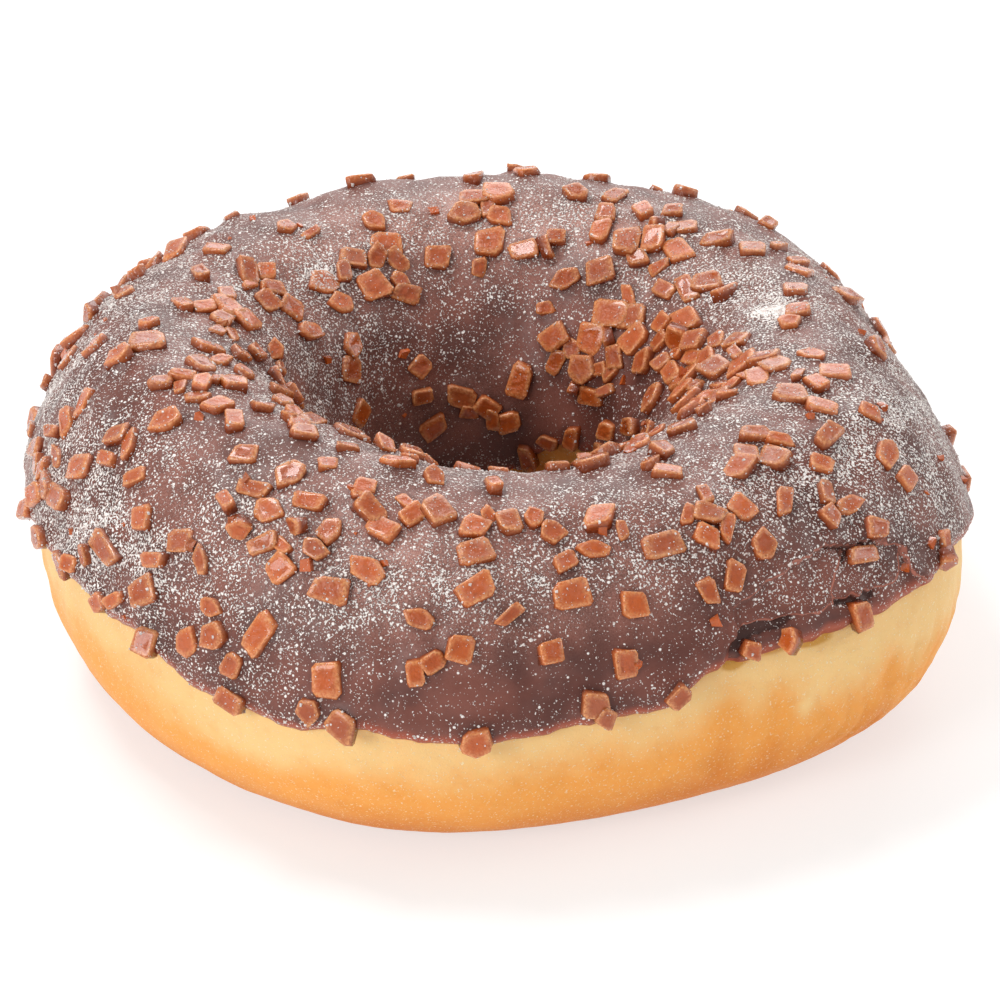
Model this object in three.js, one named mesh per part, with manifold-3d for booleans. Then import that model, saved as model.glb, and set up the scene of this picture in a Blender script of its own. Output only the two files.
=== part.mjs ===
// A ring doughnut: a fried dough ring, dipped in dark icing that is covered with caramel chips.
// Millimetres, +Z up. The origin is under the middle of the whole, at the level of its flat base.
// Azimuths are in degrees from +X towards +Y. A ring angle goes round the ring's section:
// 0 at its outermost point, 90 on the crest, 180 at the innermost point, 270 under it.
import * as THREE from 'three';
import { mergeVertices } from 'three/addons/utils/BufferGeometryUtils.js';
import Module from 'manifold-3d';

// The ring over its icing
const RING_RADIUS = 29.5;
const OUTER_REACH = 13.45;
const INNER_REACH = 15.7;
const WAIST_HEIGHT = 13.9;
const TOP_RISE = 17.5;
const UPPER_SQUARENESS = 1.94;
const LOWER_SQUARENESS = 2.2;
const RING_CENTRE = [0, -0.1];
const HOLE_SHIFT = [-1.35, 0.8];
const BASE_FLATTENING = 0.35;
const BASE_HALF_ANGLE = 13;

// How far it is from a true ring: times round, size, azimuth of one crest
const OUTLINE_LOBES = [
  [3, 0.41, -43],
  [4, 1.42, -30],
  [5, 0.86, -22],
];
const CREST_LOBES = [
  [1, 0.92, 215],
  [2, 0.49, 46],
  [3, 0.61, -27],
];

// The icing
const ICING_THICKNESS = 1.1;
const GAP = 0.3;
const ICING_BEAD = 0.35;
const CRUST_BREAK_DEPTH = 0.45;

// Height of the icing's lower edge by azimuth, outside and in the hole
const EDGE_HEIGHTS = [
  [25, 16.6], [60, 18], [100, 16.2], [140, 18.2], [175, 17], [205, 17.9], [222, 17.6],
  [234, 15.3], [245, 14.8], [255, 15.6], [266, 14.8], [288, 15.5], [300, 18.6], [315, 18.8],
  [335, 19.4], [352, 17.4],
];
const LIP_HEIGHTS = [
  [0, 10.2], [30, 11.8], [48, 12.8], [60, 12.6], [70, 11], [77, 8.6], [92, 7.2], [140, 8.6],
  [190, 9.4], [230, 10.8], [270, 9.4], [315, 11.2],
];

// Where the icing's outer crust has broken away: azimuth and highest ring angle of the break
const CRUST_BREAK = [[298, 12], [302, 32], [306, 37], [315, 42], [322, 38], [327, 29], [330, 12]];

// The caramel chips
const CHIP_COUNT = 380;
const SOLID_CHIPS = 244;
const CHIP_LENGTH = [1.9, 3.4];
const CHIP_SLIMNESS = [0.5, 0.95];
const CHIP_THICKNESS = [0.95, 1.4];
const CHIP_TAPER = 0.14;
const CHIP_SINK = 0.42;
const CHIP_SEED = 2981;
const CORNER_SEED = 977;

// Clusters: azimuth, ring angle, reach along the azimuth, reach round the section, chips
const CLUSTERS = [
  [47, 150, 11, 14, 14], [61, 151, 5, 7, 3], [30, 138, 9, 9, 5], [14, 134, 9, 7, 6],
  [0, 126, 9, 13, 8], [88, 174, 8, 4, 2], [50, 108, 7, 12, 6], [62, 108, 5, 8, 2],
  [78, 122, 6, 6, 2], [93, 103, 7, 9, 4], [118, 126, 8, 7, 4], [134, 122, 6, 6, 3],
  [151, 112, 8, 8, 5], [167, 109, 7, 6, 4], [183, 118, 8, 9, 4], [197, 109, 6, 8, 2],
  [211, 93, 9, 11, 7], [227, 106, 7, 8, 5], [193, 32, 8, 11, 6], [211, 52, 6, 9, 4],
  [241, 57, 7, 8, 3], [257, 77, 8, 8, 5], [271, 72, 7, 7, 4], [286, 68, 6, 5, 2],
  [303, 66, 7, 5, 4], [316, 81, 6, 6, 4], [321, 53, 4, 6, 3], [331, 116, 7, 9, 5],
  [345, 114, 8, 11, 8], [343, 90, 9, 9, 3], [288, 107, 6, 5, 2], [28, 82, 12, 10, 3],
];

// Thinly covered patches: azimuth, ring angle, reach each way
const BARE_PATCHES = [
  [98, 150, 22, 14], [150, 150, 44, 14], [12, 76, 50, 30], [130, 80, 52, 26], [196, 72, 24, 18],
  [224, 60, 9, 14], [262, 18, 44, 24], [300, 24, 34, 24], [255, 36, 26, 16], [335, 34, 24, 26],
  [290, 86, 20, 14], [322, 98, 18, 12], [120, 176, 40, 9], [345, 66, 20, 30], [75, 138, 12, 8],
  [14, 112, 9, 9], [188, 98, 10, 8],
];
const BARE_COVERAGE = 0.05;

// Chips that stand out, placed one by one: azimuth, ring angle, length, slimness, turn
const PLACED_CHIPS = [
  [204, 41, 3.3, 0.7, 30], [202, 29, 3.8, 0.6, 15], [216, 28, 4.5, 0.45, 165],
  [225, 25, 3.1, 0.85, 40], [228, 42, 2.5, 0.85, 25], [232, 40, 2.8, 0.5, 130],
  [235, 29, 2.6, 0.65, 15], [232, 17, 3.1, 0.75, 95], [236, 22, 3, 0.8, 30],
  [242, 27, 3.9, 0.6, 65], [230, 76, 2.5, 0.85, 30], [235, 66, 3.4, 0.45, 10],
  [239, 61, 2.9, 0.85, 25], [240, 51, 3.1, 0.5, 40], [243, 46, 2.6, 0.9, 55],
  [244, 68, 3.2, 0.5, 5], [255, 66, 3.1, 0.65, 165], [248, 61, 2.6, 0.8, 80],
  [247, 54, 2.6, 0.65, 165], [254, 52, 3.7, 0.6, 165], [250, 44, 3.5, 0.7, 0],
  [261, 40, 2.9, 0.6, 170], [239, 16, 2.4, 0.8, 70], [251, 20, 3.3, 0.8, 95],
  [261, 25, 2.4, 0.7, 95], [263, 28, 2.2, 0.8, 30], [249, 10, 2.6, 0.85, 70],
  [268, 61, 3.2, 0.7, 15], [268, 49, 3.6, 0.65, 30], [279, 68, 2.4, 0.85, 145],
  [284, 60, 3.1, 0.5, 175], [280, 57, 2.4, 0.7, 20], [280, 46, 3.5, 0.75, 5],
  [288, 40, 2.6, 0.95, 175], [272, 41, 2.9, 0.4, 40], [266, 32, 2.5, 0.95, 80],
  [286, 23, 2.8, 0.85, 90], [282, 12, 2.9, 0.9, 170], [294, 57, 3.8, 0.6, 0],
  [300, 56, 2.6, 0.75, 140], [307, 49, 2.8, 0.8, 95], [302, 42, 2.8, 0.65, 65],
  [298, 39, 2.5, 0.7, 100], [320, 36, 3.2, 0.5, 165], [333, 56, 3.5, 0.6, 20],
  [333, 47, 2.5, 0.8, 5], [358, 154, 3, 0.6, 20], [254, 98, 3.3, 0.5, 10],
  [137, 145, 2.6, 0.8, 80], [140, 152, 2.6, 0.9, 60], [112, 73, 2.8, 0.8, 0],
  [73, 71, 2.8, 0.6, 0], [49, 136, 3.9, 0.75, 20], [43, 134, 3.6, 0.75, 20],
];
const PLACED_LEAN = 0.3;

// Chips that hang over the icing's lower edge: azimuths, and how far above it they are centred
const EDGE_CHIPS = [
  192, 200, 207, 217, 226, 239, 248, 253, 268, 283, 292, 302, 307, 317, 332, 12, 77, 131,
];
const EDGE_CHIP_RISE = 2;

// How much nearer than side by side chips may settle: hung on the edge, in clusters, elsewhere
const EDGE_CLOSENESS = 0.6;
const CLUSTER_CLOSENESS = 0.8;
const SCATTER_CLOSENESS = 0.98;

// How finely the surfaces are divided
const AZIMUTH_STEP = 7.5;
const BREAK_AZIMUTH_STEP = 3;
const OUTER_ROWS = 11;
const INNER_ROWS = 8;
const LOWER_ROWS = 4;

const wasm = await Module();
wasm.setup();

const radians = THREE.MathUtils.degToRad;
const degrees = THREE.MathUtils.radToDeg;
const mix = THREE.MathUtils.lerp;

// The sum of some lobes at an azimuth
function lobes(table, azimuth) {
  let sum = 0;
  for (const [times, size, crest] of table) {
    sum += size * Math.cos(radians(times * (azimuth - crest)));
  }
  return sum;
}

// A smooth value between the points of a [azimuth, value] table that goes once round
function roundTable(table, azimuth) {
  const around = ((azimuth % 360) + 360) % 360;
  const last = table.length - 1;
  let i = table.findIndex(([at]) => at > around);
  if (i < 0) i = 0;
  const [fromAt, from] = table[i === 0 ? last : i - 1];
  const [toAt, to] = table[i];
  const span = (toAt - fromAt + 360) % 360;
  const share = ((around - fromAt + 360) % 360) / span;
  return mix(from, to, share * share * (3 - 2 * share));
}

// A power that keeps the sign, for the squarish section of the ring
function signedPower(value, power) {
  return Math.sign(value) * Math.abs(value) ** power;
}

// A point of the ring, as deep under the icing's outer face as skin says
function ringPoint(azimuth, angle, skin) {
  const cos = Math.cos(radians(angle));
  const sin = Math.sin(radians(angle));
  const power = 2 / (sin > 0 ? UPPER_SQUARENESS : LOWER_SQUARENESS);
  const outward = OUTER_REACH - skin + lobes(OUTLINE_LOBES, azimuth);
  const inward = INNER_REACH - skin;
  const reach = (cos > 0 ? outward : inward) * signedPower(cos, power);
  const rise = TOP_RISE - skin + lobes(CREST_LOBES, azimuth);
  const lift = (sin > 0 ? rise : WAIST_HEIGHT + BASE_FLATTENING) * signedPower(sin, power);
  const radius = RING_RADIUS + reach;
  const inside = 1 - (reach + INNER_REACH) / (OUTER_REACH + INNER_REACH);
  return new THREE.Vector3(
    RING_CENTRE[0] + radius * Math.cos(radians(azimuth)) + HOLE_SHIFT[0] * inside,
    RING_CENTRE[1] + radius * Math.sin(radians(azimuth)) + HOLE_SHIFT[1] * inside,
    Math.max(0, WAIST_HEIGHT + lift),
  );
}

// The ring angle at which the icing's outer face has a height, on the outer side
function angleOfHeight(azimuth, height) {
  const rise = TOP_RISE + lobes(CREST_LOBES, azimuth);
  const up = height > WAIST_HEIGHT;
  const share = (height - WAIST_HEIGHT) / (up ? rise : WAIST_HEIGHT + BASE_FLATTENING);
  const squareness = up ? UPPER_SQUARENESS : LOWER_SQUARENESS;
  return degrees(Math.asin(signedPower(share, squareness / 2)));
}

const edgeAngle = (azimuth) => angleOfHeight(azimuth, roundTable(EDGE_HEIGHTS, azimuth));
const lipAngle = (azimuth) => 180 - angleOfHeight(azimuth, roundTable(LIP_HEIGHTS, azimuth));

// How much of the icing's crust is gone at a place
function crustBreak(azimuth, angle) {
  for (let i = 1; i < CRUST_BREAK.length; i += 1) {
    const [fromAt, from] = CRUST_BREAK[i - 1];
    const [toAt, to] = CRUST_BREAK[i];
    if (azimuth >= fromAt && azimuth <= toAt) {
      const top = mix(from, to, (azimuth - fromAt) / (toAt - fromAt));
      return angle < top ? CRUST_BREAK_DEPTH : 0;
    }
  }
  return 0;
}

// The azimuths of the surfaces' columns, closer together across the break
function columnAzimuths() {
  const columns = [];
  const first = CRUST_BREAK[0][0] - AZIMUTH_STEP;
  const last = CRUST_BREAK[CRUST_BREAK.length - 1][0] + BREAK_AZIMUTH_STEP;
  for (let azimuth = 0; azimuth < 360;) {
    columns.push(azimuth);
    azimuth += azimuth >= first && azimuth < last ? BREAK_AZIMUTH_STEP : AZIMUTH_STEP;
  }
  return columns;
}

// A closed solid from one closed loop of points at each azimuth, all loops with as many points
function sweptRing(loopAt) {
  const loops = columnAzimuths().map(loopAt);
  const count = loops[0].length;
  const positions = [];
  for (const loop of loops) {
    for (const point of loop) positions.push(point.x, point.y, point.z);
  }
  const index = [];
  loops.forEach((_, column) => {
    const here = column * count;
    const next = ((column + 1) % loops.length) * count;
    for (let i = 0; i < count; i += 1) {
      const j = (i + 1) % count;
      index.push(here + i, next + i, next + j, here + i, next + j, here + j);
    }
  });
  const geometry = new THREE.BufferGeometry();
  geometry.setAttribute('position', new THREE.Float32BufferAttribute(positions, 3));
  geometry.setIndex(index);
  return geometry;
}

// All round the ring at one depth: the icing's inner rows, down the hole, over the base and up
function ringLoop(azimuth, skin) {
  const edge = edgeAngle(azimuth);
  const lip = lipAngle(azimuth);
  const loop = [];
  const addRows = (from, to, rows) => {
    for (let i = 0; i < rows; i += 1) loop.push(ringPoint(azimuth, mix(from, to, i / rows), skin));
  };
  addRows(edge, lip, INNER_ROWS);
  addRows(lip, 270 - BASE_HALF_ANGLE, LOWER_ROWS);
  addRows(270 - BASE_HALF_ANGLE, 270 + BASE_HALF_ANGLE, 1);
  addRows(270 + BASE_HALF_ANGLE, edge + 360, LOWER_ROWS);
  return loop;
}

// The dough, and all that lies inside the icing's inner face, which no chip may reach into
const doughLoop = (azimuth) => ringLoop(azimuth, ICING_THICKNESS + GAP);
const coreLoop = (azimuth) => ringLoop(azimuth, ICING_THICKNESS);

// The icing: over the ring from its lower edge to its lip in the hole, and back underneath
function icingLoop(azimuth) {
  const edge = edgeAngle(azimuth);
  const lip = lipAngle(azimuth);
  const beadTurn = degrees(ICING_BEAD / OUTER_REACH);
  const loop = [];
  loop.push(ringPoint(azimuth, edge - beadTurn, ICING_THICKNESS / 2));
  for (let i = 0; i <= OUTER_ROWS; i += 1) {
    const angle = mix(edge, lip, i / OUTER_ROWS);
    const rounding = i === 0 || i === OUTER_ROWS ? ICING_BEAD / 2 : 0;
    loop.push(ringPoint(azimuth, angle, Math.max(rounding, crustBreak(azimuth, angle))));
  }
  loop.push(ringPoint(azimuth, lip + beadTurn, ICING_THICKNESS / 2));
  for (let i = INNER_ROWS; i >= 0; i -= 1) {
    loop.push(ringPoint(azimuth, mix(edge, lip, i / INNER_ROWS), ICING_THICKNESS));
  }
  return loop;
}

// Seeded random numbers from 0 to 1
function makeDraw(seed) {
  let state = seed;
  return () => {
    state = (state * 16807) % 2147483647;
    return state / 2147483647;
  };
}

// One chip that may be tried: every try takes the same number of draws
function chipTry(draw, azimuth, angle) {
  const size = draw();
  return {
    azimuth,
    angle,
    length: mix(...CHIP_LENGTH, size),
    slimness: mix(...CHIP_SLIMNESS, draw()),
    thickness: mix(...CHIP_THICKNESS, draw()),
    turn: 180 * draw(),
    lean: draw(),
    leanTurn: 360 * draw(),
  };
}

// Shorter way between two azimuths
const azimuthGap = (a, b) => Math.abs(((a - b + 540) % 360) - 180);

// Near 0 on a thinly covered patch, 1 away from them all
function coverage(azimuth, angle) {
  let share = 1;
  for (const [at, ringAt, reach, ringReach] of BARE_PATCHES) {
    const far = Math.hypot(azimuthGap(azimuth, at) / reach, (angle - ringAt) / ringReach);
    if (far < 1) share = Math.min(share, mix(BARE_COVERAGE, 1, far ** 4));
  }
  return share;
}

// All the chips, each clear enough of those before it
function placeChips() {
  const draw = makeDraw(CHIP_SEED);
  const chips = [];
  const settle = (chip, closeness) => {
    const place = ringPoint(chip.azimuth, chip.angle, 0);
    const reach = 0.5 * chip.length * mix(chip.slimness, 1, 0.5);
    const near = (other) => place.distanceTo(other.place) < closeness * (reach + other.reach);
    const crowded = chips.some(near);
    if (!crowded) chips.push({ ...chip, place, reach });
    return !crowded;
  };
  for (const [azimuth, angle, length, slimness, turn] of PLACED_CHIPS) {
    settle({ ...chipTry(draw, azimuth, angle), length, slimness, turn, lean: PLACED_LEAN }, 0);
  }
  for (const azimuth of EDGE_CHIPS) {
    settle(chipTry(draw, azimuth, edgeAngle(azimuth) + EDGE_CHIP_RISE), EDGE_CLOSENESS);
  }
  for (const [azimuth, angle, reach, ringReach, count] of CLUSTERS) {
    let settled = 0;
    for (let i = 0; i < 12 * count && settled < count; i += 1) {
      const far = Math.sqrt(draw());
      const way = radians(360 * draw());
      const at = azimuth + reach * far * Math.cos(way);
      const chip = chipTry(draw, at, angle + ringReach * far * Math.sin(way));
      if (settle(chip, CLUSTER_CLOSENESS)) settled += 1;
    }
  }
  for (let i = 0; i < 40 * CHIP_COUNT && chips.length < CHIP_COUNT; i += 1) {
    const azimuth = 360 * draw();
    const share = draw();
    const chance = draw();
    const angle = mix(edgeAngle(azimuth), lipAngle(azimuth), share);
    const chip = chipTry(draw, azimuth, angle);
    const width = RING_RADIUS + OUTER_REACH * Math.cos(radians(angle));
    const wanted = (coverage(azimuth, angle) * width) / (RING_RADIUS + OUTER_REACH);
    if (chance < wanted) settle(chip, SCATTER_CLOSENESS);
  }
  const area = (chip) => chip.length * chip.length * chip.slimness;
  return chips.sort((a, b) => area(b) - area(a));
}

// Most chips lie nearly flat, some lean, and a few stand on their edge
function leanAngle(lean) {
  if (lean < 0.8) return mix(0, 10, lean / 0.8);
  if (lean < 0.96) return mix(10, 26, (lean - 0.8) / 0.16);
  return mix(50, 75, (lean - 0.96) / 0.04);
}

// A chip's block: an uneven four-sided plate that tapers to a slightly slanting top
function chipGeometry(chip, draw) {
  const box = new THREE.BoxGeometry(1, 1, 1).deleteAttribute('normal').deleteAttribute('uv');
  const block = mergeVertices(box);
  const position = block.getAttribute('position');
  const width = chip.length * chip.slimness;
  const uneven = [0, 1, 2, 3].map(() => mix(0.8, 1.1, draw()));
  const slant = mix(-0.12, 0.12, draw());
  for (let i = 0; i < position.count; i += 1) {
    const x = position.getX(i);
    const y = position.getY(i);
    const corner = uneven[(x > 0 ? 1 : 0) + (y > 0 ? 2 : 0)];
    const high = position.getZ(i) > 0 ? 1 + slant * x : 0;
    const taper = corner * (1 - CHIP_TAPER * high);
    position.setXYZ(i, x * chip.length * taper, y * width * taper, chip.thickness * (high - 0.5));
  }
  return block;
}

// A chip's place on the icing: Z out of the surface, turned, leaned and sunk in a little
function chipMatrix(chip) {
  const { azimuth, angle, place } = chip;
  const along = ringPoint(azimuth + 0.5, angle, 0).sub(ringPoint(azimuth - 0.5, angle, 0)).normalize();
  const across = ringPoint(azimuth, angle + 0.5, 0).sub(ringPoint(azimuth, angle - 0.5, 0)).normalize();
  const out = new THREE.Vector3().crossVectors(along, across).normalize();
  const side = new THREE.Vector3().crossVectors(out, along);
  const surface = new THREE.Matrix4().makeBasis(along, side, out);
  const leanWay = radians(chip.leanTurn);
  const leanAxis = new THREE.Vector3(Math.cos(leanWay), Math.sin(leanWay), 0);
  const tilt = leanAngle(chip.lean);
  const steep = Math.sin(radians(tilt));
  const half = mix(0.5 * chip.thickness, 0.5 * chip.length * chip.slimness, steep * steep);
  const lift = half - CHIP_SINK - crustBreak(azimuth, angle);
  return new THREE.Matrix4()
    .makeTranslation(place.x + out.x * lift, place.y + out.y * lift, place.z + out.z * lift)
    .multiply(surface)
    .multiply(new THREE.Matrix4().makeRotationAxis(leanAxis, radians(tilt)))
    .multiply(new THREE.Matrix4().makeRotationZ(radians(chip.turn)));
}

// A closed geometry as a solid, and back
function solidOf(geometry) {
  const vertProperties = geometry.getAttribute('position').array;
  const triVerts = new Uint32Array(geometry.index.array);
  return new wasm.Manifold(new wasm.Mesh({ numProp: 3, vertProperties, triVerts }));
}

function geometryOf(solid) {
  const mesh = solid.getMesh();
  const geometry = new THREE.BufferGeometry();
  geometry.setAttribute('position', new THREE.Float32BufferAttribute(mesh.vertProperties, 3));
  geometry.setIndex(Array.from(mesh.triVerts));
  geometry.computeVertexNormals();
  return geometry;
}

// The icing with its largest chips fused on
function icingGeometry() {
  const corner = makeDraw(CORNER_SEED);
  const core = solidOf(sweptRing(coreLoop));
  let icing = solidOf(sweptRing(icingLoop));
  for (const chip of placeChips().slice(0, SOLID_CHIPS)) {
    const block = solidOf(chipGeometry(chip, corner).applyMatrix4(chipMatrix(chip)));
    icing = icing.add(block.subtract(core));
  }
  const bodies = icing.decompose();
  bodies.sort((a, b) => b.volume() - a.volume());
  return geometryOf(bodies[0]);
}

function namedMesh(name, geometry, material) {
  const mesh = new THREE.Mesh(geometry, material);
  mesh.name = name;
  return mesh;
}

const doughMaterial = new THREE.MeshStandardMaterial({ color: 0xe2b063, roughness: 0.62, metalness: 0 });
const icingMaterial = new THREE.MeshStandardMaterial({ color: 0x4a302b, roughness: 0.5, metalness: 0 });

const doughnut = new THREE.Group();
doughnut.add(namedMesh('dough', sweptRing(doughLoop), doughMaterial));
doughnut.add(namedMesh('icing', icingGeometry(), icingMaterial));

export default doughnut;
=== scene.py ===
# %% [markdown]
# A chocolate iced ring doughnut.
# The real one is a ring of fried dough. Its upper half was dipped in dark icing, small caramel
# chips were scattered on while the icing was wet, and a dusting of sugar came last.
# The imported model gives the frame: two solids, the dough and the icing with most of its chips.
# Here both are made again, finer, with every chip, the sugar and the finishes.
# All sizes below are in millimetres and become metres only where a mesh is made.

import bpy
import numpy as np
from mathutils import Matrix


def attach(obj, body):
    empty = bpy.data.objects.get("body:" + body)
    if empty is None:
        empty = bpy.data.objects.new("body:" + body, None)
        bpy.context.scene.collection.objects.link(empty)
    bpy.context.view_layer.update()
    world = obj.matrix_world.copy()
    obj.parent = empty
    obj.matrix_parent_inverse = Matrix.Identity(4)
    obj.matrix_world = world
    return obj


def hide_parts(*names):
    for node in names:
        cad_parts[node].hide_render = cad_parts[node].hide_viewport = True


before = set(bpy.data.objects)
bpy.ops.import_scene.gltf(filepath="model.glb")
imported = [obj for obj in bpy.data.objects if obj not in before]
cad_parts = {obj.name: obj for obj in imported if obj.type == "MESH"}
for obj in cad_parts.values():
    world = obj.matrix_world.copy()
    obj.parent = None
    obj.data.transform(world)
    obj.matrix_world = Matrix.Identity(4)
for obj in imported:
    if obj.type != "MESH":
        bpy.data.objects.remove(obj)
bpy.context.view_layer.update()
MM = 0.001
SCENE = bpy.context.scene


def add_object(name, data):
    """A new object in the scene."""
    thing = bpy.data.objects.new(name, data)
    SCENE.collection.objects.link(thing)
    return thing


# %% [markdown]
# The camera looks down on the ring at about thirty degrees, from far away, so the ring is hardly
# distorted. A long lens does that. The distance, the angle and the point it looks at come first,
# because they decide how large everything has to be drawn.

# %% The camera
CAMERA_AIM = np.array([0.44, -0.1, 14.0])
CAMERA_DISTANCE = 480
CAMERA_ELEVATION = 29.7
CAMERA_LENS = 189.6
CAMERA_NEAREST, CAMERA_FARTHEST = 10, 20000

elevation = np.radians(CAMERA_ELEVATION)
towards_camera = np.array([0, -np.cos(elevation), np.sin(elevation)])
camera = add_object("camera", bpy.data.cameras.new("camera"))
camera.data.lens = CAMERA_LENS
camera.data.clip_start = CAMERA_NEAREST * MM
camera.data.clip_end = CAMERA_FARTHEST * MM
camera.location = (CAMERA_AIM + CAMERA_DISTANCE * towards_camera) * MM
camera.rotation_euler = (np.pi / 2 - elevation, 0, 0)
SCENE.camera = camera
print("camera at", [round(v, 3) for v in camera.location])

# %% [markdown]
# The ring's section is a squarish ellipse, and the ring is a little out of true: its outline has
# a few gentle lobes and its crest rises and falls. One function gives any point of it, by its
# azimuth round the ring and its angle round the section: 0 is outermost, 90 the crest, 180 the
# innermost point and 270 the base. Skin is how deep the point lies under the icing's outer face.

# %% The ring
RING_RADIUS = 29.5
RING_CENTRE = (0, -0.1)
HOLE_SHIFT = (-1.35, 0.8)
OUTER_REACH = 13.45
INNER_REACH = 15.7
WAIST_HEIGHT = 13.9
TOP_RISE = 17.5
UPPER_SQUARENESS = 1.94
LOWER_SQUARENESS = 2.2
BASE_FLATTENING = 0.35
OUTLINE_LOBES = [(3, 0.41, -43), (4, 1.42, -30), (5, 0.86, -22)]
CREST_LOBES = [(1, 0.92, 215), (2, 0.49, 46), (3, 0.61, -27)]
ICING_THICKNESS = 1.1
GAP = 0.3


def between(low, high, share):
    return low + (high - low) * share


def smooth_step(value, low, high):
    share = np.clip((value - low) / (high - low), 0, 1)
    return share * share * (3 - 2 * share)


def print_range(what, values):
    print(what, "from %.2f to %.2f" % (values.min(), values.max()))


def lobes(table, azimuth):
    return sum(size * np.cos(np.radians(times * (azimuth - crest))) for times, size, crest in table)


def signed_power(value, power):
    return np.sign(value) * np.abs(value) ** power


def ring_points(azimuth, angle, skin):
    """Points of the ring in millimetres, for arrays of angles in degrees."""
    azimuth, angle, skin = np.broadcast_arrays(azimuth, angle, skin)
    cos, sin = np.cos(np.radians(angle)), np.sin(np.radians(angle))
    power = 2 / np.where(sin > 0, UPPER_SQUARENESS, LOWER_SQUARENESS)
    outward = OUTER_REACH - skin + lobes(OUTLINE_LOBES, azimuth)
    reach = np.where(cos > 0, outward, INNER_REACH - skin) * signed_power(cos, power)
    rise = TOP_RISE - skin + lobes(CREST_LOBES, azimuth)
    lift = np.where(sin > 0, rise, WAIST_HEIGHT + BASE_FLATTENING) * signed_power(sin, power)
    inside = 1 - (reach + INNER_REACH) / (OUTER_REACH + INNER_REACH)
    radius = RING_RADIUS + reach
    x = RING_CENTRE[0] + radius * np.cos(np.radians(azimuth)) + HOLE_SHIFT[0] * inside
    y = RING_CENTRE[1] + radius * np.sin(np.radians(azimuth)) + HOLE_SHIFT[1] * inside
    return np.stack([x, y, np.maximum(0, WAIST_HEIGHT + lift)], axis=-1)


around = np.arange(0, 360, 5)
crest = ring_points(around, 90, 0)
print_range("the crest's height in mm:", crest[:, 2])

# %% [markdown]
# The icing ends in a wavy line outside and in the hole. Each line is a short table of heights by
# azimuth with smooth steps between them, which is how a dipped edge looks: level stretches that
# the dipping left, with dips between them. A fine ripple is added later, on the mesh only.

# %% Where the icing ends
EDGE_HEIGHTS = [
    (25, 16.6), (60, 18), (100, 16.2), (140, 18.2), (175, 17), (205, 17.9), (222, 17.6),
    (234, 15.3), (245, 14.8), (255, 15.6), (266, 14.8), (288, 15.5), (300, 18.6), (315, 18.8),
    (335, 19.4), (352, 17.4),
]
LIP_HEIGHTS = [
    (0, 10.2), (30, 11.8), (48, 12.8), (60, 12.6), (70, 11), (77, 8.6), (92, 7.2), (140, 8.6),
    (190, 9.4), (230, 10.8), (270, 9.4), (315, 11.2),
]


def round_table(table, azimuth):
    """A smooth value between the rows of a table that goes once round."""
    around = np.mod(azimuth, 360)
    at = np.array([row[0] for row in table], float)
    value = np.array([row[1] for row in table], float)
    after = np.searchsorted(at, around, side="right") % len(table)
    before = after - 1
    span = np.mod(at[after] - at[before] + 360, 360)
    share = np.mod(around - at[before] + 360, 360) / span
    return between(value[before], value[after], smooth_step(share, 0, 1))


def angle_of_height(azimuth, height):
    """The ring angle at which the icing's outer face has a height, on the outer side."""
    rise = TOP_RISE + lobes(CREST_LOBES, azimuth)
    up = height > WAIST_HEIGHT
    share = (height - WAIST_HEIGHT) / np.where(up, rise, WAIST_HEIGHT + BASE_FLATTENING)
    squareness = np.where(up, UPPER_SQUARENESS, LOWER_SQUARENESS)
    return np.degrees(np.arcsin(signed_power(share, squareness / 2)))


def edge_angle(azimuth):
    return angle_of_height(azimuth, round_table(EDGE_HEIGHTS, azimuth))


def lip_angle(azimuth):
    return 180 - angle_of_height(azimuth, round_table(LIP_HEIGHTS, azimuth))


print_range("the icing ends outside at ring angles", edge_angle(around))
print_range("the icing ends in the hole at ring angles", lip_angle(around))

# %% [markdown]
# Food is never smooth. Every surface here gets soft unevenness from a sum of waves that run in
# many directions with random starts. It is the same each run because the seed is fixed, and its
# height and size in millimetres are plain to read: a row of a table is one of each, and a seed.

# %% Soft unevenness
WAVES = 28
WAVE_STEEPNESS = (0.6, 1.5)


def unevenness(points, size, seed):
    """Smooth noise of about -1 to 1 at points in millimetres, with bumps of a size."""
    random = np.random.default_rng(seed)
    ways = random.normal(size=(WAVES, 3))
    ways /= np.linalg.norm(ways, axis=1, keepdims=True)
    ways *= (2 * np.pi / size) * random.uniform(*WAVE_STEEPNESS, (WAVES, 1))
    starts = random.uniform(0, 2 * np.pi, WAVES)
    total = np.zeros(points.shape[:-1])
    for way, start in zip(ways, starts):
        total += np.cos(points @ way + start)
    return total / np.sqrt(WAVES)


def bumps(table, points):
    """A sum of unevenness from rows of a height, a size and a seed."""
    return sum(height * unevenness(points, size, seed) for height, size, seed in table)


def ridge(distance, width, at=0):
    """1 at a distance, and softly down to 0 a few widths to either side of it."""
    return np.exp(-(((distance - at) / width) ** 2))


def azimuth_gap(a, b):
    """The shorter way from azimuth b to a, in degrees, with its sign."""
    return np.mod(a - b + 540, 360) - 180


def hills(table, azimuth, angle):
    """A sum of rounded hills from rows of azimuth, ring angle, reach each way and height."""
    total = np.zeros(np.broadcast(azimuth, angle).shape)
    for at, ring_at, reach, ring_reach, height in table:
        far = (azimuth_gap(azimuth, at) / reach) ** 2 + ((angle - ring_at) / ring_reach) ** 2
        total = total + height * np.exp(-far)
    return total


print_range("bumps of 10 mm on the crest:", unevenness(crest, 10, 1))

# %% [markdown]
# A swept skin is a grid of columns round the ring and rows round its section. Both main pieces
# are made this way rather than by sculpting, because the same functions then tell the chips and
# the sugar exactly where the surface is.

# %% A mesh from a grid that closes both ways
def mesh_of(name, points, faces):
    """A mesh from points in millimetres."""
    mesh = bpy.data.meshes.new(name)
    mesh.from_pydata((np.asarray(points) * MM).tolist(), [], faces)
    return mesh


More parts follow.
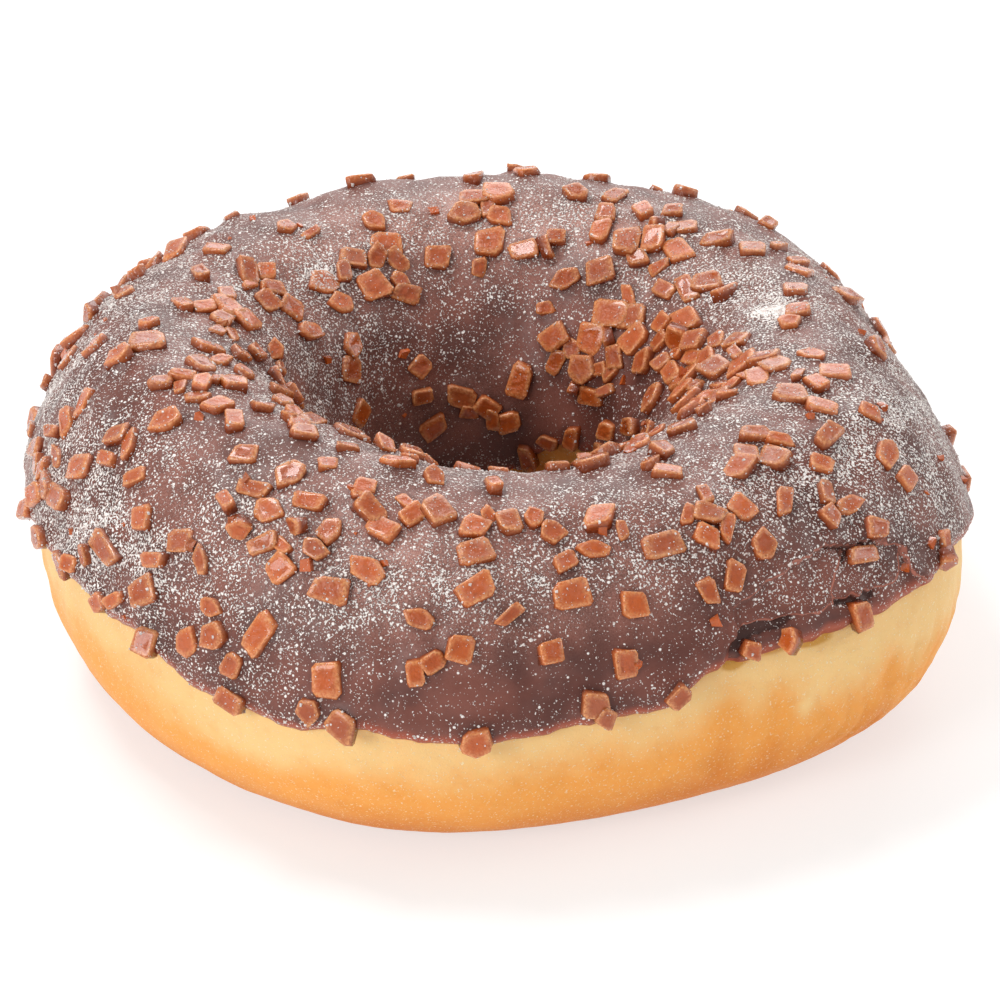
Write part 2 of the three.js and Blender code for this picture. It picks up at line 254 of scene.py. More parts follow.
def carry(mesh, values, kind="FLOAT"):
    """Stores a table of named values for the points of a mesh."""
    key = "vector" if kind == "FLOAT_VECTOR" else "value"
    for name, array in values.items():
        mesh.attributes.new(name, kind, "POINT").data.foreach_set(key, np.ravel(array))


def ring_mesh(name, points, values):
    """A closed mesh object from points[column, row] in millimetres, with its faces outwards."""
    columns, rows = points.shape[:2]
    column, row = np.meshgrid(np.arange(columns), np.arange(rows), indexing="ij")
    next_column, next_row = (column + 1) % columns, (row + 1) % rows
    pairs = [(column, row), (next_column, row), (next_column, next_row), (column, next_row)]
    faces = np.stack([at * rows + up for at, up in pairs], axis=-1).reshape(-1, 4)
    mesh = mesh_of(name, points.reshape(-1, 3), faces.tolist())
    carry(mesh, values)
    mesh.shade_smooth()
    print(name, len(mesh.vertices), "points,", 2 * len(mesh.polygons), "triangles")
    return add_object(name, mesh)


# %% [markdown]
# The dough was fried floating, so it has a pale band round its middle, a browned underside and
# a soft skin. Its relief is low: broad swellings, fine blisters, a few upright creases at the
# right where the skin shrank, and a small foot where the dough sagged at the front left. Under
# the icing it stays plain, since nobody sees it. The flat base keeps its level, so it still rests.
# The mesh also carries where the skin is more golden, as in the hole and in the creases, and
# where a thin amber film of the icing's fat ran out under the broken plate.

# %% The dough's relief
DOUGH_BUMPS = [(0.2, 15, 11), (0.07, 5, 14), (0.03, 1.9, 12)]
CREASE_DEPTH = 0.2
CREASE_PITCH = 3.4
CREASE_SHARE = 0.3
CREASE_WAVER = [(2.4, 8, 13)]
CREASES_AT, CREASES_REACH = 322, 24
CREASES_START, CREASES_END = (296, 325), (350, 372)
FOOT = [(252, 296, 9, 12, 0.8), (228, 300, 7, 9, 0.3)]
GOLDEN_BANDS = [
    (300, 345, 1.8, 26, 1), (307, 342, 1.6, 28, 0.9), (323, 340, 2.2, 30, 1), (332, 342, 1.6, 26, 0.6),
    (310.5, 352, 0.8, 5, -0.8), (256, 300, 9, 12, 1), (325, 358, 22, 26, -0.9), (240, 355, 12, 14, -0.6),
    (226, 338, 12, 14, -0.5), (90, 222, 400, 34, 4),
]
AMBER_FILM = [(300.5, 374.6, 1.8, 3, 1.2), (305.5, 375.6, 3.4, 2.4, 0.8), (311.5, 375.4, 3, 2.8, 1.1)]


def dough_relief(azimuth, angle):
    """How far the dough's bare surface stands above its plain form."""
    plain = ring_points(azimuth, angle, ICING_THICKNESS + GAP)
    window = ridge(azimuth_gap(azimuth, CREASES_AT), CREASES_REACH)
    window = window * smooth_step(angle, *CREASES_START) * (1 - smooth_step(angle, *CREASES_END))
    crease = np.cos(2 * np.pi * azimuth / CREASE_PITCH + bumps(CREASE_WAVER, plain))
    relief = bumps(DOUGH_BUMPS, plain) - CREASE_DEPTH * window * smooth_step(crease, CREASE_SHARE, 1)
    return relief + hills(FOOT, azimuth, angle)


print_range("the dough's relief in mm at ring angle 335:", dough_relief(around, 335))

# %% The dough
DOUGH_COLUMNS = 540
COVERED_ROWS, BARE_ROWS = 34, 112
PAST_EDGE, PAST_LIP = 6, 4
RELIEF_AT_LIP, RELIEF_AT_EDGE = (-1, 4), (-3, 2)
DEPTHS_CARRIED = (-2, 30)

azimuths = np.linspace(0, 360, DOUGH_COLUMNS, endpoint=False)[:, None]
edge, lip = edge_angle(azimuths), lip_angle(azimuths)
covered = between(edge + PAST_EDGE, lip - PAST_LIP, np.linspace(0, 1, COVERED_ROWS, endpoint=False))
bare = between(lip - PAST_LIP, edge + 360 + PAST_EDGE, np.linspace(0, 1, BARE_ROWS, endpoint=False))
angle = np.concatenate([covered, bare], axis=1)
azimuth = np.broadcast_to(azimuths, angle.shape)
bareness = smooth_step(angle - lip, *RELIEF_AT_LIP)
bareness = bareness * (1 - smooth_step(angle - edge - 360, *RELIEF_AT_EDGE))
relief = dough_relief(azimuth, angle) * bareness
depth = np.radians(np.minimum(angle - lip, edge + 360 - angle)) * OUTER_REACH
dough = ring_mesh("dough_ring", ring_points(azimuth, angle, ICING_THICKNESS + GAP - relief), {
    "below_edge": np.clip(depth, *DEPTHS_CARRIED),
    "golden": hills(GOLDEN_BANDS, azimuth, angle),
    "amber": hills(AMBER_FILM, azimuth, angle),
})

# %% [markdown]
# At the lower right a plate of the icing's crust has broken away, with thin cracks round it, and
# at the left a fold of icing ran down before it set. Both are distances to short outlines drawn
# on the ring, in millimetres of surface, so their edges can be as sharp or soft as the real ones.
# The cracks are hair-thin, so the mesh only carries how far inside each outline a point is, and
# the finish draws the line where that distance passes nought.

# %% Marks in the icing
PLATE_TOP = [(301, 32.8), (303.5, 34.5), (306, 38), (310, 40.4), (314, 42), (315.5, 43)]
PLATE_SEAM = [
    (318, 39.4), (317, 37.4), (316.5, 36), (315.5, 34.4), (315, 32), (314, 29.4), (314, 27.4),
]
CRUST_BREAK = [
    (297.5, 4), (298, 15), (299, 21.5), (300.6, 24), (301, 28), *PLATE_TOP, (318.5, 40), (322, 38.6),
    (324.5, 36), (326, 32.4), (326, 25), (329, 16), (331, 4),
]
CRACKS = [
    [*PLATE_TOP, *PLATE_SEAM, (313.8, 25), (312, 24.4), (310.5, 25), (308.5, 26), (304, 26.6),
     (302, 26.6), (301, 24.6)],
    [*PLATE_SEAM, (316, 26.5), (319, 25.4), (322, 24.8), (324.2, 24.9), (326, 32.4), (324.5, 36),
     (322.5, 37.2)],
]
RECESSES = [
    [(299.2, 14), (299.2, 19), (299.6, 20.6), (300.2, 22.6), (301, 24.6), (302, 26.4), (306, 26.2),
     (308.2, 25.8), (308.6, 24.2), (307.5, 23.2), (303.8, 22.6), (301.6, 22), (301, 17), (300.6, 14)],
    [(314, 27), (315.5, 26.3), (318.5, 25), (320.3, 24.9), (320.2, 22.6), (319, 22.2), (316, 23.2),
     (314.2, 24)],
    [(315.4, 43.2), (317, 42), (318.5, 40.4), (322, 38.8), (322.6, 38), (320, 38.6), (319, 38.2),
     (318.2, 37), (317.4, 36.4), (317.4, 37.4), (318, 39), (315.5, 42.2)],
]
DRIP_FOLD = [(193, 74), (196, 63), (200, 57), (206, 54)]
RAGGEDNESS = [(0.16, 1.6, 21)]
BREAK_DEPTH, BREAK_EDGE = 0.55, (-0.08, 0.12)
RECESS_DEPTH, RECESS_EDGE = 0.5, (-0.06, 0.1)
RIM_HEIGHT, RIM_WIDTH, RIM_AT = 0.1, 0.35, -0.4
FOLD_HEIGHT, FOLD_WIDTH = 0.5, 0.7
SURFACE_MM_PER_DEGREE = np.array([42.5, 15.5]) * np.pi / 180
NEARLY_NOUGHT = 1e-12
print(len(CRACKS), "cracked plates,", len(RECESSES), "recesses and a fold of", len(DRIP_FOLD), "corners")

# %% How far a point is from a mark
def distance_to_line(places, corners, closed):
    """How far places are from a line through corners, and whether they are inside it."""
    corners = np.array(corners, float) * SURFACE_MM_PER_DEGREE
    ends = np.roll(corners, -1, axis=0)
    if not closed:
        corners, ends = corners[:-1], ends[:-1]
    nearest = np.full(places.shape[:-1], np.inf)
    inside = np.zeros(places.shape[:-1], bool)
    for start, end in zip(corners, ends):
        way = end - start
        share = np.clip(((places - start) @ way) / (way @ way), 0, 1)
        nearest = np.minimum(nearest, np.linalg.norm(places - start - share[..., None] * way, axis=-1))
        crosses = (start[1] > places[..., 1]) != (end[1] > places[..., 1])
        slope = way[0] / (way[1] + NEARLY_NOUGHT)
        inside ^= crosses & (places[..., 0] < start[0] + slope * (places[..., 1] - start[1]))
    return nearest, inside


def signed_distance(places, corners):
    """How far inside a closed outline places are, and less than 0 outside it."""
    far, inside = distance_to_line(places, corners, closed=True)
    return np.where(inside, far, -far)


def icing_marks(azimuth, angle, plain):
    """How far the marks stand above the icing, and how far inside each outline a point is."""
    places = np.stack([azimuth, angle], axis=-1) * SURFACE_MM_PER_DEGREE
    places = places + bumps(RAGGEDNESS, plain)[..., None]
    within = signed_distance(places, CRUST_BREAK)
    recess = np.max([signed_distance(places, line) for line in RECESSES], axis=0)
    fold, _ = distance_to_line(places, DRIP_FOLD, closed=False)
    height = -BREAK_DEPTH * smooth_step(within, *BREAK_EDGE)
    height = height - RECESS_DEPTH * smooth_step(recess, *RECESS_EDGE)
    height = height + RIM_HEIGHT * ridge(within, RIM_WIDTH, RIM_AT) + FOLD_HEIGHT * ridge(fold, FOLD_WIDTH)
    marks = {f"crack_{i}": signed_distance(places, line) for i, line in enumerate(CRACKS)}
    return height, {"break": within, "recess": recess, **marks}


# %% The icing's relief
ICING_BUMPS = [(0.24, 12, 31), (0.1, 4.4, 32), (0.02, 1.3, 33)]
BULGE_HEIGHT, BULGE_WIDTH, BULGE_AT = 0.18, 1, 1


def icing_relief(azimuth, angle):
    """How far the icing's outer face stands above its plain form, and where its marks are."""
    plain = ring_points(azimuth, angle, 0)
    above_edge = (angle - edge_angle(azimuth)) * SURFACE_MM_PER_DEGREE[1]
    relief = bumps(ICING_BUMPS, plain) + BULGE_HEIGHT * ridge(above_edge, BULGE_WIDTH, BULGE_AT)
    height, marks = icing_marks(azimuth, angle, plain)
    return relief + height, marks


relief, _ = icing_relief(around, np.full(len(around), 90))
print_range("the icing's relief in mm on the crest:", relief)

# %% [markdown]
# The chips fell where they fell: bunched in some places and thin in others. The rule is the one
# the imported model uses, with the same seeds and tables, so each chip here stands exactly where
# its solid is, and the smaller ones that the solids leave out join them. Chips that stand out to
# the eye come first, then those that hang over the edge, then the bunches, then a scatter over
# all that is left, thinner on the bare patches. Last come late chips, read off the real ring
# where the rule left a gap. The solids go without them.

# %% The chips' sizes and places
CHIP_COUNT = 380
CHIP_LENGTH = (1.9, 3.4)
CHIP_SLIMNESS = (0.5, 0.95)
CHIP_THICKNESS = (0.95, 1.4)
CHIP_SINK = 0.42
CHIP_SEED = 2981
CLUSTERS = [
    (47, 150, 11, 14, 14), (61, 151, 5, 7, 3), (30, 138, 9, 9, 5), (14, 134, 9, 7, 6),
    (0, 126, 9, 13, 8), (88, 174, 8, 4, 2), (50, 108, 7, 12, 6), (62, 108, 5, 8, 2),
    (78, 122, 6, 6, 2), (93, 103, 7, 9, 4), (118, 126, 8, 7, 4), (134, 122, 6, 6, 3),
    (151, 112, 8, 8, 5), (167, 109, 7, 6, 4), (183, 118, 8, 9, 4), (197, 109, 6, 8, 2),
    (211, 93, 9, 11, 7), (227, 106, 7, 8, 5), (193, 32, 8, 11, 6), (211, 52, 6, 9, 4),
    (241, 57, 7, 8, 3), (257, 77, 8, 8, 5), (271, 72, 7, 7, 4), (286, 68, 6, 5, 2),
    (303, 66, 7, 5, 4), (316, 81, 6, 6, 4), (321, 53, 4, 6, 3), (331, 116, 7, 9, 5),
    (345, 114, 8, 11, 8), (343, 90, 9, 9, 3), (288, 107, 6, 5, 2), (28, 82, 12, 10, 3),
]
BARE_PATCHES = [
    (98, 150, 22, 14), (150, 150, 44, 14), (12, 76, 50, 30), (130, 80, 52, 26), (196, 72, 24, 18),
    (224, 60, 9, 14), (262, 18, 44, 24), (300, 24, 34, 24), (255, 36, 26, 16), (335, 34, 24, 26),
    (290, 86, 20, 14), (322, 98, 18, 12), (120, 176, 40, 9), (345, 66, 20, 30), (75, 138, 12, 8),
    (14, 112, 9, 9), (188, 98, 10, 8),
]
BARE_COVERAGE = 0.05
PLACED_CHIPS = [
    (204, 41, 3.3, 0.7, 30), (202, 29, 3.8, 0.6, 15), (216, 28, 4.5, 0.45, 165),
    (225, 25, 3.1, 0.85, 40), (228, 42, 2.5, 0.85, 25), (232, 40, 2.8, 0.5, 130),
    (235, 29, 2.6, 0.65, 15), (232, 17, 3.1, 0.75, 95), (236, 22, 3, 0.8, 30),
    (242, 27, 3.9, 0.6, 65), (230, 76, 2.5, 0.85, 30), (235, 66, 3.4, 0.45, 10),
    (239, 61, 2.9, 0.85, 25), (240, 51, 3.1, 0.5, 40), (243, 46, 2.6, 0.9, 55),
    (244, 68, 3.2, 0.5, 5), (255, 66, 3.1, 0.65, 165), (248, 61, 2.6, 0.8, 80),
    (247, 54, 2.6, 0.65, 165), (254, 52, 3.7, 0.6, 165), (250, 44, 3.5, 0.7, 0),
    (261, 40, 2.9, 0.6, 170), (239, 16, 2.4, 0.8, 70), (251, 20, 3.3, 0.8, 95),
    (261, 25, 2.4, 0.7, 95), (263, 28, 2.2, 0.8, 30), (249, 10, 2.6, 0.85, 70),
    (268, 61, 3.2, 0.7, 15), (268, 49, 3.6, 0.65, 30), (279, 68, 2.4, 0.85, 145),
    (284, 60, 3.1, 0.5, 175), (280, 57, 2.4, 0.7, 20), (280, 46, 3.5, 0.75, 5),
    (288, 40, 2.6, 0.95, 175), (272, 41, 2.9, 0.4, 40), (266, 32, 2.5, 0.95, 80),
    (286, 23, 2.8, 0.85, 90), (282, 12, 2.9, 0.9, 170), (294, 57, 3.8, 0.6, 0),
    (300, 56, 2.6, 0.75, 140), (307, 49, 2.8, 0.8, 95), (302, 42, 2.8, 0.65, 65),
    (298, 39, 2.5, 0.7, 100), (320, 36, 3.2, 0.5, 165), (333, 56, 3.5, 0.6, 20),
    (333, 47, 2.5, 0.8, 5), (358, 154, 3, 0.6, 20), (254, 98, 3.3, 0.5, 10),
    (137, 145, 2.6, 0.8, 80), (140, 152, 2.6, 0.9, 60), (112, 73, 2.8, 0.8, 0),
    (73, 71, 2.8, 0.6, 0), (49, 136, 3.9, 0.75, 20), (43, 134, 3.6, 0.75, 20),
]
LATE_CHIPS = [
    (109, 179, 2.9, 0.75, 30), (98, 170, 3.2, 0.7, 160), (85, 177, 2.4, 0.6, 90), (79, 178, 2.6, 0.8, 20),
    (75, 164, 3.6, 0.6, 80), (54, 178, 3.6, 0.8, 10), (46, 167, 3, 0.8, 0), (190, 85, 3.5, 0.8, 80),
    (192, 73, 2.9, 0.9, 78), (167, 118, 2.8, 0.9, 60), (180, 111, 2.6, 0.8, 90), (205, 81, 2.2, 0.7, 50),
    (214, 71, 3.2, 0.75, 56), (212, 62, 2.6, 0.8, 50), (235, 98, 2.5, 0.8, 35), (150, 125, 2.6, 0.8, 120),
    (134, 131, 2.6, 0.8, 136), (132, 96, 2.2, 0.8, 20), (124, 119, 2.8, 0.7, 146), (114, 116, 3.2, 0.7, 156),
    (102, 125, 2.6, 0.95, 168), (113, 135, 2.8, 0.7, 150), (108, 102, 2.4, 0.8, 162), (87, 111, 2.4, 0.9, 3),
    (73, 96, 2.5, 0.8, 17), (73, 117, 2, 0.9, 17), (58, 125, 2.9, 0.9, 32), (48, 128, 2.6, 0.5, 130),
    (26, 125, 3.5, 0.85, 60), (52, 115, 2.3, 0.8, 38), (49, 96, 2.7, 0.7, 40), (32, 111, 3.2, 0.8, 58),
    (35, 89, 2.6, 0.8, 55), (17, 91, 2.5, 0.8, 73), (10, 94, 2.5, 0.8, 80), (5, 98, 2.2, 0.8, 85),
    (346, 102, 3.2, 0.8, 100), (346, 82, 3, 0.8, 100), (335, 91, 3.4, 0.75, 110), (334, 80, 3, 0.7, 110),
    (338, 67, 2.3, 0.8, 110), (316, 111, 2.8, 0.6, 134), (320, 87, 3.3, 0.5, 140), (323, 66, 2.3, 0.8, 125),
    (322, 55, 2.7, 0.8, 125), (301, 89, 2.8, 0.7, 150), (303, 57, 2.8, 0.5, 60), (323, 41, 2.3, 0.9, 150),
    (333, 26, 2, 0.5, 60),
]
PLACED_LEAN = 0.3
EDGE_CHIPS = [192, 200, 207, 217, 226, 239, 248, 253, 268, 283, 292, 302, 307, 317, 332, 12, 77, 131]
EDGE_CHIP_RISE = 2
EDGE_CLOSENESS, CLUSTER_CLOSENESS, SCATTER_CLOSENESS = 0.6, 0.8, 0.98
CLUSTER_TRIES, SCATTER_TRIES = 12, 40
DRAW_FACTOR, DRAW_RANGE = 16807, 2147483647
print(len(PLACED_CHIPS), "chips by eye,", len(CLUSTERS), "bunches,", len(LATE_CHIPS), "late chips")

# %% Draws, tries and coverage
def draws(seed):
    """Seeded random numbers from 0 to 1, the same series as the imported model's."""
    state = seed
    while True:
        state = state * DRAW_FACTOR % DRAW_RANGE
        yield state / DRAW_RANGE


def chip_try(draw, azimuth, angle):
    """One chip that may be tried. Every try takes the same number of draws."""
    return {
        "azimuth": azimuth,
        "angle": angle,
        "length": between(*CHIP_LENGTH, next(draw)),
        "slimness": between(*CHIP_SLIMNESS, next(draw)),
        "thickness": between(*CHIP_THICKNESS, next(draw)),
        "turn": 180 * next(draw),
        "lean": next(draw),
        "lean_turn": 360 * next(draw),
    }


def coverage(azimuth, angle):
    """Near 0 on a thinly covered patch and 1 away from them all."""
    share = 1
    for at, ring_at, reach, ring_reach in BARE_PATCHES:
        far = np.hypot(azimuth_gap(azimuth, at) / reach, (angle - ring_at) / ring_reach)
        if far < 1:
            share = min(share, between(BARE_COVERAGE, 1, far**4))
    return share


# %% Place the chips
draw = draws(CHIP_SEED)
chips = []
chip_places = np.empty((CHIP_COUNT + len(LATE_CHIPS), 3))
chip_reaches = np.empty(len(chip_places))


def settle(chip, closeness):
    """Keeps a chip if it is clear enough of those before it."""
    place = ring_points(chip["azimuth"], chip["angle"], 0)
    reach = 0.5 * chip["length"] * between(chip["slimness"], 1, 0.5)
    count = len(chips)
    apart = np.linalg.norm(chip_places[:count] - place, axis=1)
    if np.any(apart < closeness * (reach + chip_reaches[:count])):
        return False
    chip_places[count], chip_reaches[count] = place, reach
    chips.append(chip)
    return True


def settle_row(row, closeness):
    azimuth, angle, length, slimness, turn = row
    chip = chip_try(draw, azimuth, angle)
    chip.update(length=length, slimness=slimness, turn=turn, lean=PLACED_LEAN)
    settle(chip, closeness)


for row in PLACED_CHIPS:
    settle_row(row, 0)
for azimuth in EDGE_CHIPS:
    settle(chip_try(draw, azimuth, float(edge_angle(azimuth)) + EDGE_CHIP_RISE), EDGE_CLOSENESS)
for azimuth, angle, reach, ring_reach, count in CLUSTERS:
    settled = 0
    for _ in range(CLUSTER_TRIES * count):
        if settled == count:
            break
        far, way = np.sqrt(next(draw)), np.radians(360 * next(draw))
        at, ring_at = azimuth + reach * far * np.cos(way), angle + ring_reach * far * np.sin(way)
        settled += settle(chip_try(draw, at, ring_at), CLUSTER_CLOSENESS)
for _ in range(SCATTER_TRIES * CHIP_COUNT):
    if len(chips) == CHIP_COUNT:
        break
    azimuth, share, chance = 360 * next(draw), next(draw), next(draw)
    angle = between(float(edge_angle(azimuth)), float(lip_angle(azimuth)), share)
    chip = chip_try(draw, azimuth, angle)
    width = (RING_RADIUS + OUTER_REACH * np.cos(np.radians(angle))) / (RING_RADIUS + OUTER_REACH)
    if chance < coverage(azimuth, angle) * width:
        settle(chip, SCATTER_CLOSENESS)
for row in LATE_CHIPS:
    settle_row(row, EDGE_CLOSENESS)
print(len(chips), "chips placed")

# %% [markdown]
# Wet icing creeps up whatever is pressed into it. So each chip sits in a low collar, which is
# what makes it look stuck in rather than laid on. The collar is a ridge at the chip's own reach
# from its middle, added to the icing's relief. How near a point is to a chip also tells the
# finish where the icing lies in the chip's shade.

# %% How near the chips are
COLLAR_HEIGHT = 0.2
COLLAR_WIDTH = 0.75
SHADE_WIDTH = 0.4
COLLAR_START = 0.8
WIDTHS_AROUND = 2


def nearness(points, width):
    """How near points in millimetres are to a chip, from 1 at it to 0 a few widths away."""
    near = np.zeros(points.shape[:-1])
    for place, reach in zip(chip_places[: len(chips)], chip_reaches):
        box = np.all(np.abs(points - place) < reach + WIDTHS_AROUND * width, axis=-1)
        outside = np.linalg.norm(points[box] - place, axis=-1) - COLLAR_START * reach
        near[box] = np.maximum(near[box], ridge(np.maximum(0, outside), width))
    return near


print_range("how near the crest is to a chip:", nearness(crest, COLLAR_WIDTH))

# %% [markdown]
# Sugar was dusted from above and slid or was wiped off in places. Over most of the ring it lies
# evenly, it gathers on the left and right shoulders, and it is thin on the front, down the back
# and in the hole. A few broad hills say that, and two sizes of unevenness break it into drifts.
# Bloom, the paler, rosy film that chocolate gets where it cooled slowly or was touched, is here
# partly that film and partly a painted sheen. It has hills of its own, mostly on the back of the
# crest and along the front of the hole.

# %% How much sugar lies where
SUGAR_EVERYWHERE = 0.36
SUGAR_HILLS = [
    (211, 32, 28, 16, 0.18), (346, 56, 26, 24, 0.12), (160, 60, 36, 18, 0.16), (150, 148, 40, 22, 0.08),
    (30, 145, 34, 18, -0.24), (54, 104, 30, 14, 0.14), (255, 92, 16, 12, -0.04), (285, 26, 34, 26, -0.27),
    (262, 14, 22, 16, -0.16), (95, 70, 46, 22, -0.26), (75, 182, 60, 20, -0.3), (300, 182, 60, 26, -0.3),
    (194, 64, 9, 12, -0.2), (224, 50, 7, 8, -0.16), (220, 78, 8, 9, -0.1), (266, 52, 26, 10, 0.17),
    (330, 64, 12, 12, 0.1), (324, 27, 12, 10, 0.06), (312, 19, 14, 4, -0.3), (240, 84, 50, 16, -0.1),
    (295, 76, 14, 12, 0.05), (96, 144, 40, 20, -0.14), (120, 172, 80, 16, -0.14),
    (11, 102, 5, 6, 0.8), (134, 121, 5, 5, 1),
]
SUGAR_DRIFTS = [(0.16, 9, 51), (0.24, 2.6, 52)]
DRIFTS_RANGE = (0.1, 2.2)
LEAST_SUGAR = 0.03
BLOOM_AND_SHEEN_EVERYWHERE = 0.05
BLOOM_AND_SHEEN_HILLS = [
    (90, 110, 60, 20, 0.8), (249, 56, 22, 20, 0.48), (278, 50, 26, 18, 0.34), (224, 52, 10, 12, 0.14),
    (214, 92, 20, 14, 0.08), (110, 172, 40, 14, 0.3), (150, 140, 30, 16, 0.1), (60, 102, 14, 12, 0.06),
    (256, 84, 26, 12, 0.18), (7, 94, 26, 16, -0.08), (280, 20, 50, 16, -0.06), (294, 78, 16, 12, 0.14),
]


def bloom(azimuth, angle):
    """The share of the rosy film on the chocolate, part its own film and part a painted sheen, from 0 to 1.
    """
    return np.clip(BLOOM_AND_SHEEN_EVERYWHERE + hills(BLOOM_AND_SHEEN_HILLS, azimuth, angle), 0, 1)


def sugar_cover(azimuth, angle, points):
    """The share of full sugar cover, from 0 to 1."""
    cover = SUGAR_EVERYWHERE + hills(SUGAR_HILLS, azimuth, angle)
    return np.clip(cover, LEAST_SUGAR, 1) * np.clip(1 + bumps(SUGAR_DRIFTS, points), *DRIFTS_RANGE)


print_range("the sugar's share on the crest:", sugar_cover(around, 90, crest))

# %% [markdown]
# The icing is a skin about a millimetre thick with a blunt, slightly swollen edge. It could be
# the dough's mesh pushed outwards, but its inner face is never seen, so most of its rows go to
# the outside, and more columns go where the crust is broken. At its ends the inner face reaches
# just into the dough, so that no gap shows between them.

# %% The icing
COLUMN_STEP, FINE_STEP = 0.72, 0.25
FINE_FROM, FINE_TO = 296, 333
LOW_ROWS, OUTER_ROWS = 38, 134
BEAD_ROWS, INNER_ROWS = 3, 9
LOW_SHARE = 0.17
BEAD_REACH = 0.35
END_SINK = 0.1
INNER_BEND = 4
END_ROUNDING = np.array([0.34, 0.13, 0.03])
EDGE_RIPPLES = [(0.14, 5.5, 41), (0.08, 1.8, 42)]
FAR_OUTSIDE = 3

azimuths = np.concatenate([
    np.arange(0, FINE_FROM, COLUMN_STEP),
    np.arange(FINE_FROM, FINE_TO, FINE_STEP),
    np.arange(FINE_TO, 360 - COLUMN_STEP / 2, COLUMN_STEP),
])[:, None]
ripple = bumps(EDGE_RIPPLES, ring_points(azimuths, 0, 0)) / SURFACE_MM_PER_DEGREE[1]
edge, lip = edge_angle(azimuths) + ripple, lip_angle(azimuths) - ripple
low_share = np.linspace(0, LOW_SHARE, LOW_ROWS, endpoint=False)
share = np.concatenate([low_share, np.linspace(LOW_SHARE, 1, OUTER_ROWS - LOW_ROWS)])
outer_angle = between(edge, lip, share)
outer_azimuth = np.broadcast_to(azimuths, outer_angle.shape)
relief, marks = icing_relief(outer_azimuth, outer_angle)
plain = ring_points(outer_azimuth, outer_angle, 0)
relief = relief + COLLAR_HEIGHT * nearness(plain, COLLAR_WIDTH)
rounding = np.zeros(OUTER_ROWS)
rounding[: len(END_ROUNDING)] = END_ROUNDING
rounding[-len(END_ROUNDING):] = END_ROUNDING[::-1]
outer_skin = rounding - relief

depth = np.linspace(0, 1, BEAD_ROWS + 2)[1:-1]
bead_turn = BEAD_REACH * np.sin(np.pi * depth) / SURFACE_MM_PER_DEGREE[1]
end_skin = ICING_THICKNESS + GAP + END_SINK
lip_skin = between(outer_skin[:, -1:], end_skin, depth)
edge_skin = between(outer_skin[:, :1], end_skin, depth)[:, ::-1]
inner_share = np.linspace(0, 1, INNER_ROWS)
inner_angle = between(lip, edge, inner_share)
near_end = (2 * np.abs(inner_share - 0.5)) ** INNER_BEND
inner_skin = np.broadcast_to(between(ICING_THICKNESS, end_skin, near_end), inner_angle.shape)
all_angles = np.concatenate([outer_angle, lip + bead_turn, inner_angle, edge - bead_turn[::-1]], axis=1)
all_skins = np.concatenate([outer_skin, lip_skin, inner_skin, edge_skin], axis=1)
all_azimuths = np.broadcast_to(azimuths, all_angles.shape)
values = {
    "sugar": sugar_cover(outer_azimuth, outer_angle, plain),
    "bloom": bloom(outer_azimuth, outer_angle),
    "chip_shade": nearness(plain, SHADE_WIDTH),
    "end_distance": np.minimum(outer_angle - edge, lip - outer_angle) * SURFACE_MM_PER_DEGREE[1],
}


def with_rest(values, rest):
    """Values of the outer face, carried on over the bead and the inner face as one number."""
    padding = ((0, 0), (0, all_angles.shape[1] - OUTER_ROWS))
    return {name: np.pad(value, padding, constant_values=rest) for name, value in values.items()}


marks = {name: np.clip(within, -FAR_OUTSIDE, FAR_OUTSIDE) for name, within in marks.items()}
icing = ring_mesh("icing_coat", ring_points(all_azimuths, all_angles, all_skins), {
    **with_rest(values, 0), **with_rest(marks, -FAR_OUTSIDE),
})

# %% [markdown]
# A node tree is easier to read as a sum than as a web of boxes. The class Value wraps one output
# of a node, and each sign between two of them adds a Math node. Graph adds any other node from
# its type, its settings and the values or links of its inputs. Both serve the materials and the
# Geometry Nodes trees alike.

# %% Node trees as expressions
def sum_node(operation, turned=False):
    """A method that adds a Math node, with its two inputs turned round for a reflected sum."""
    def method(self, other):
        inputs = (other, self) if turned else (self, other)
        return self.graph.node("ShaderNodeMath", {"operation": operation}, dict(enumerate(inputs)))
    return method


class Value:
    """An output of a node that can be used in sums."""

    def __init__(self, graph, socket):
        self.graph = graph
        self.socket = socket

    __add__ = __radd__ = sum_node("ADD")
    __mul__ = __rmul__ = sum_node("MULTIPLY")
    __sub__ = sum_node("SUBTRACT")
    __rsub__ = sum_node("SUBTRACT", turned=True)
    __rtruediv__ = sum_node("DIVIDE", turned=True)
    __pow__ = sum_node("POWER")
    __lt__ = sum_node("LESS_THAN")
    __gt__ = sum_node("GREATER_THAN")
    least = sum_node("MINIMUM")
    most = sum_node("MAXIMUM")

    def absolute(self):
        return self.graph.node("ShaderNodeMath", {"operation": "ABSOLUTE"}, {0: self})

    def ramp(self, low, high, start=0, end=1):
        """A smooth step from start at low to end at high."""
        values = {"Value": self, "From Min": low, "From Max": high, "To Min": start, "To Max": end}
        return self.graph.node("ShaderNodeMapRange", {"interpolation_type": "SMOOTHSTEP"}, values)


def find_socket(sockets, key):
    """A socket by its place, identifier or name."""
    if isinstance(key, int):
        return sockets[key]
    named = [socket for socket in sockets if socket.identifier == key]
    return named[0] if named else sockets[key]


class Graph:
    """A node tree to which nodes are added one call at a time."""

    def __init__(self, tree):
        self.tree = tree

    def node(self, kind, settings=None, values=None, output=0):
        node = self.tree.nodes.new(kind)
        for name, setting in (settings or {}).items():
            setattr(node, name, setting)
        for key, value in (values or {}).items():
            socket = find_socket(node.inputs, key)
            links = [v for v in (value if isinstance(value, list) else [value]) if isinstance(v, Value)]
            for link in links:
                self.tree.links.new(link.socket, socket)
            if not links:
                socket.default_value = value
        return Value(self, find_socket(node.outputs, output)) if len(node.outputs) else None


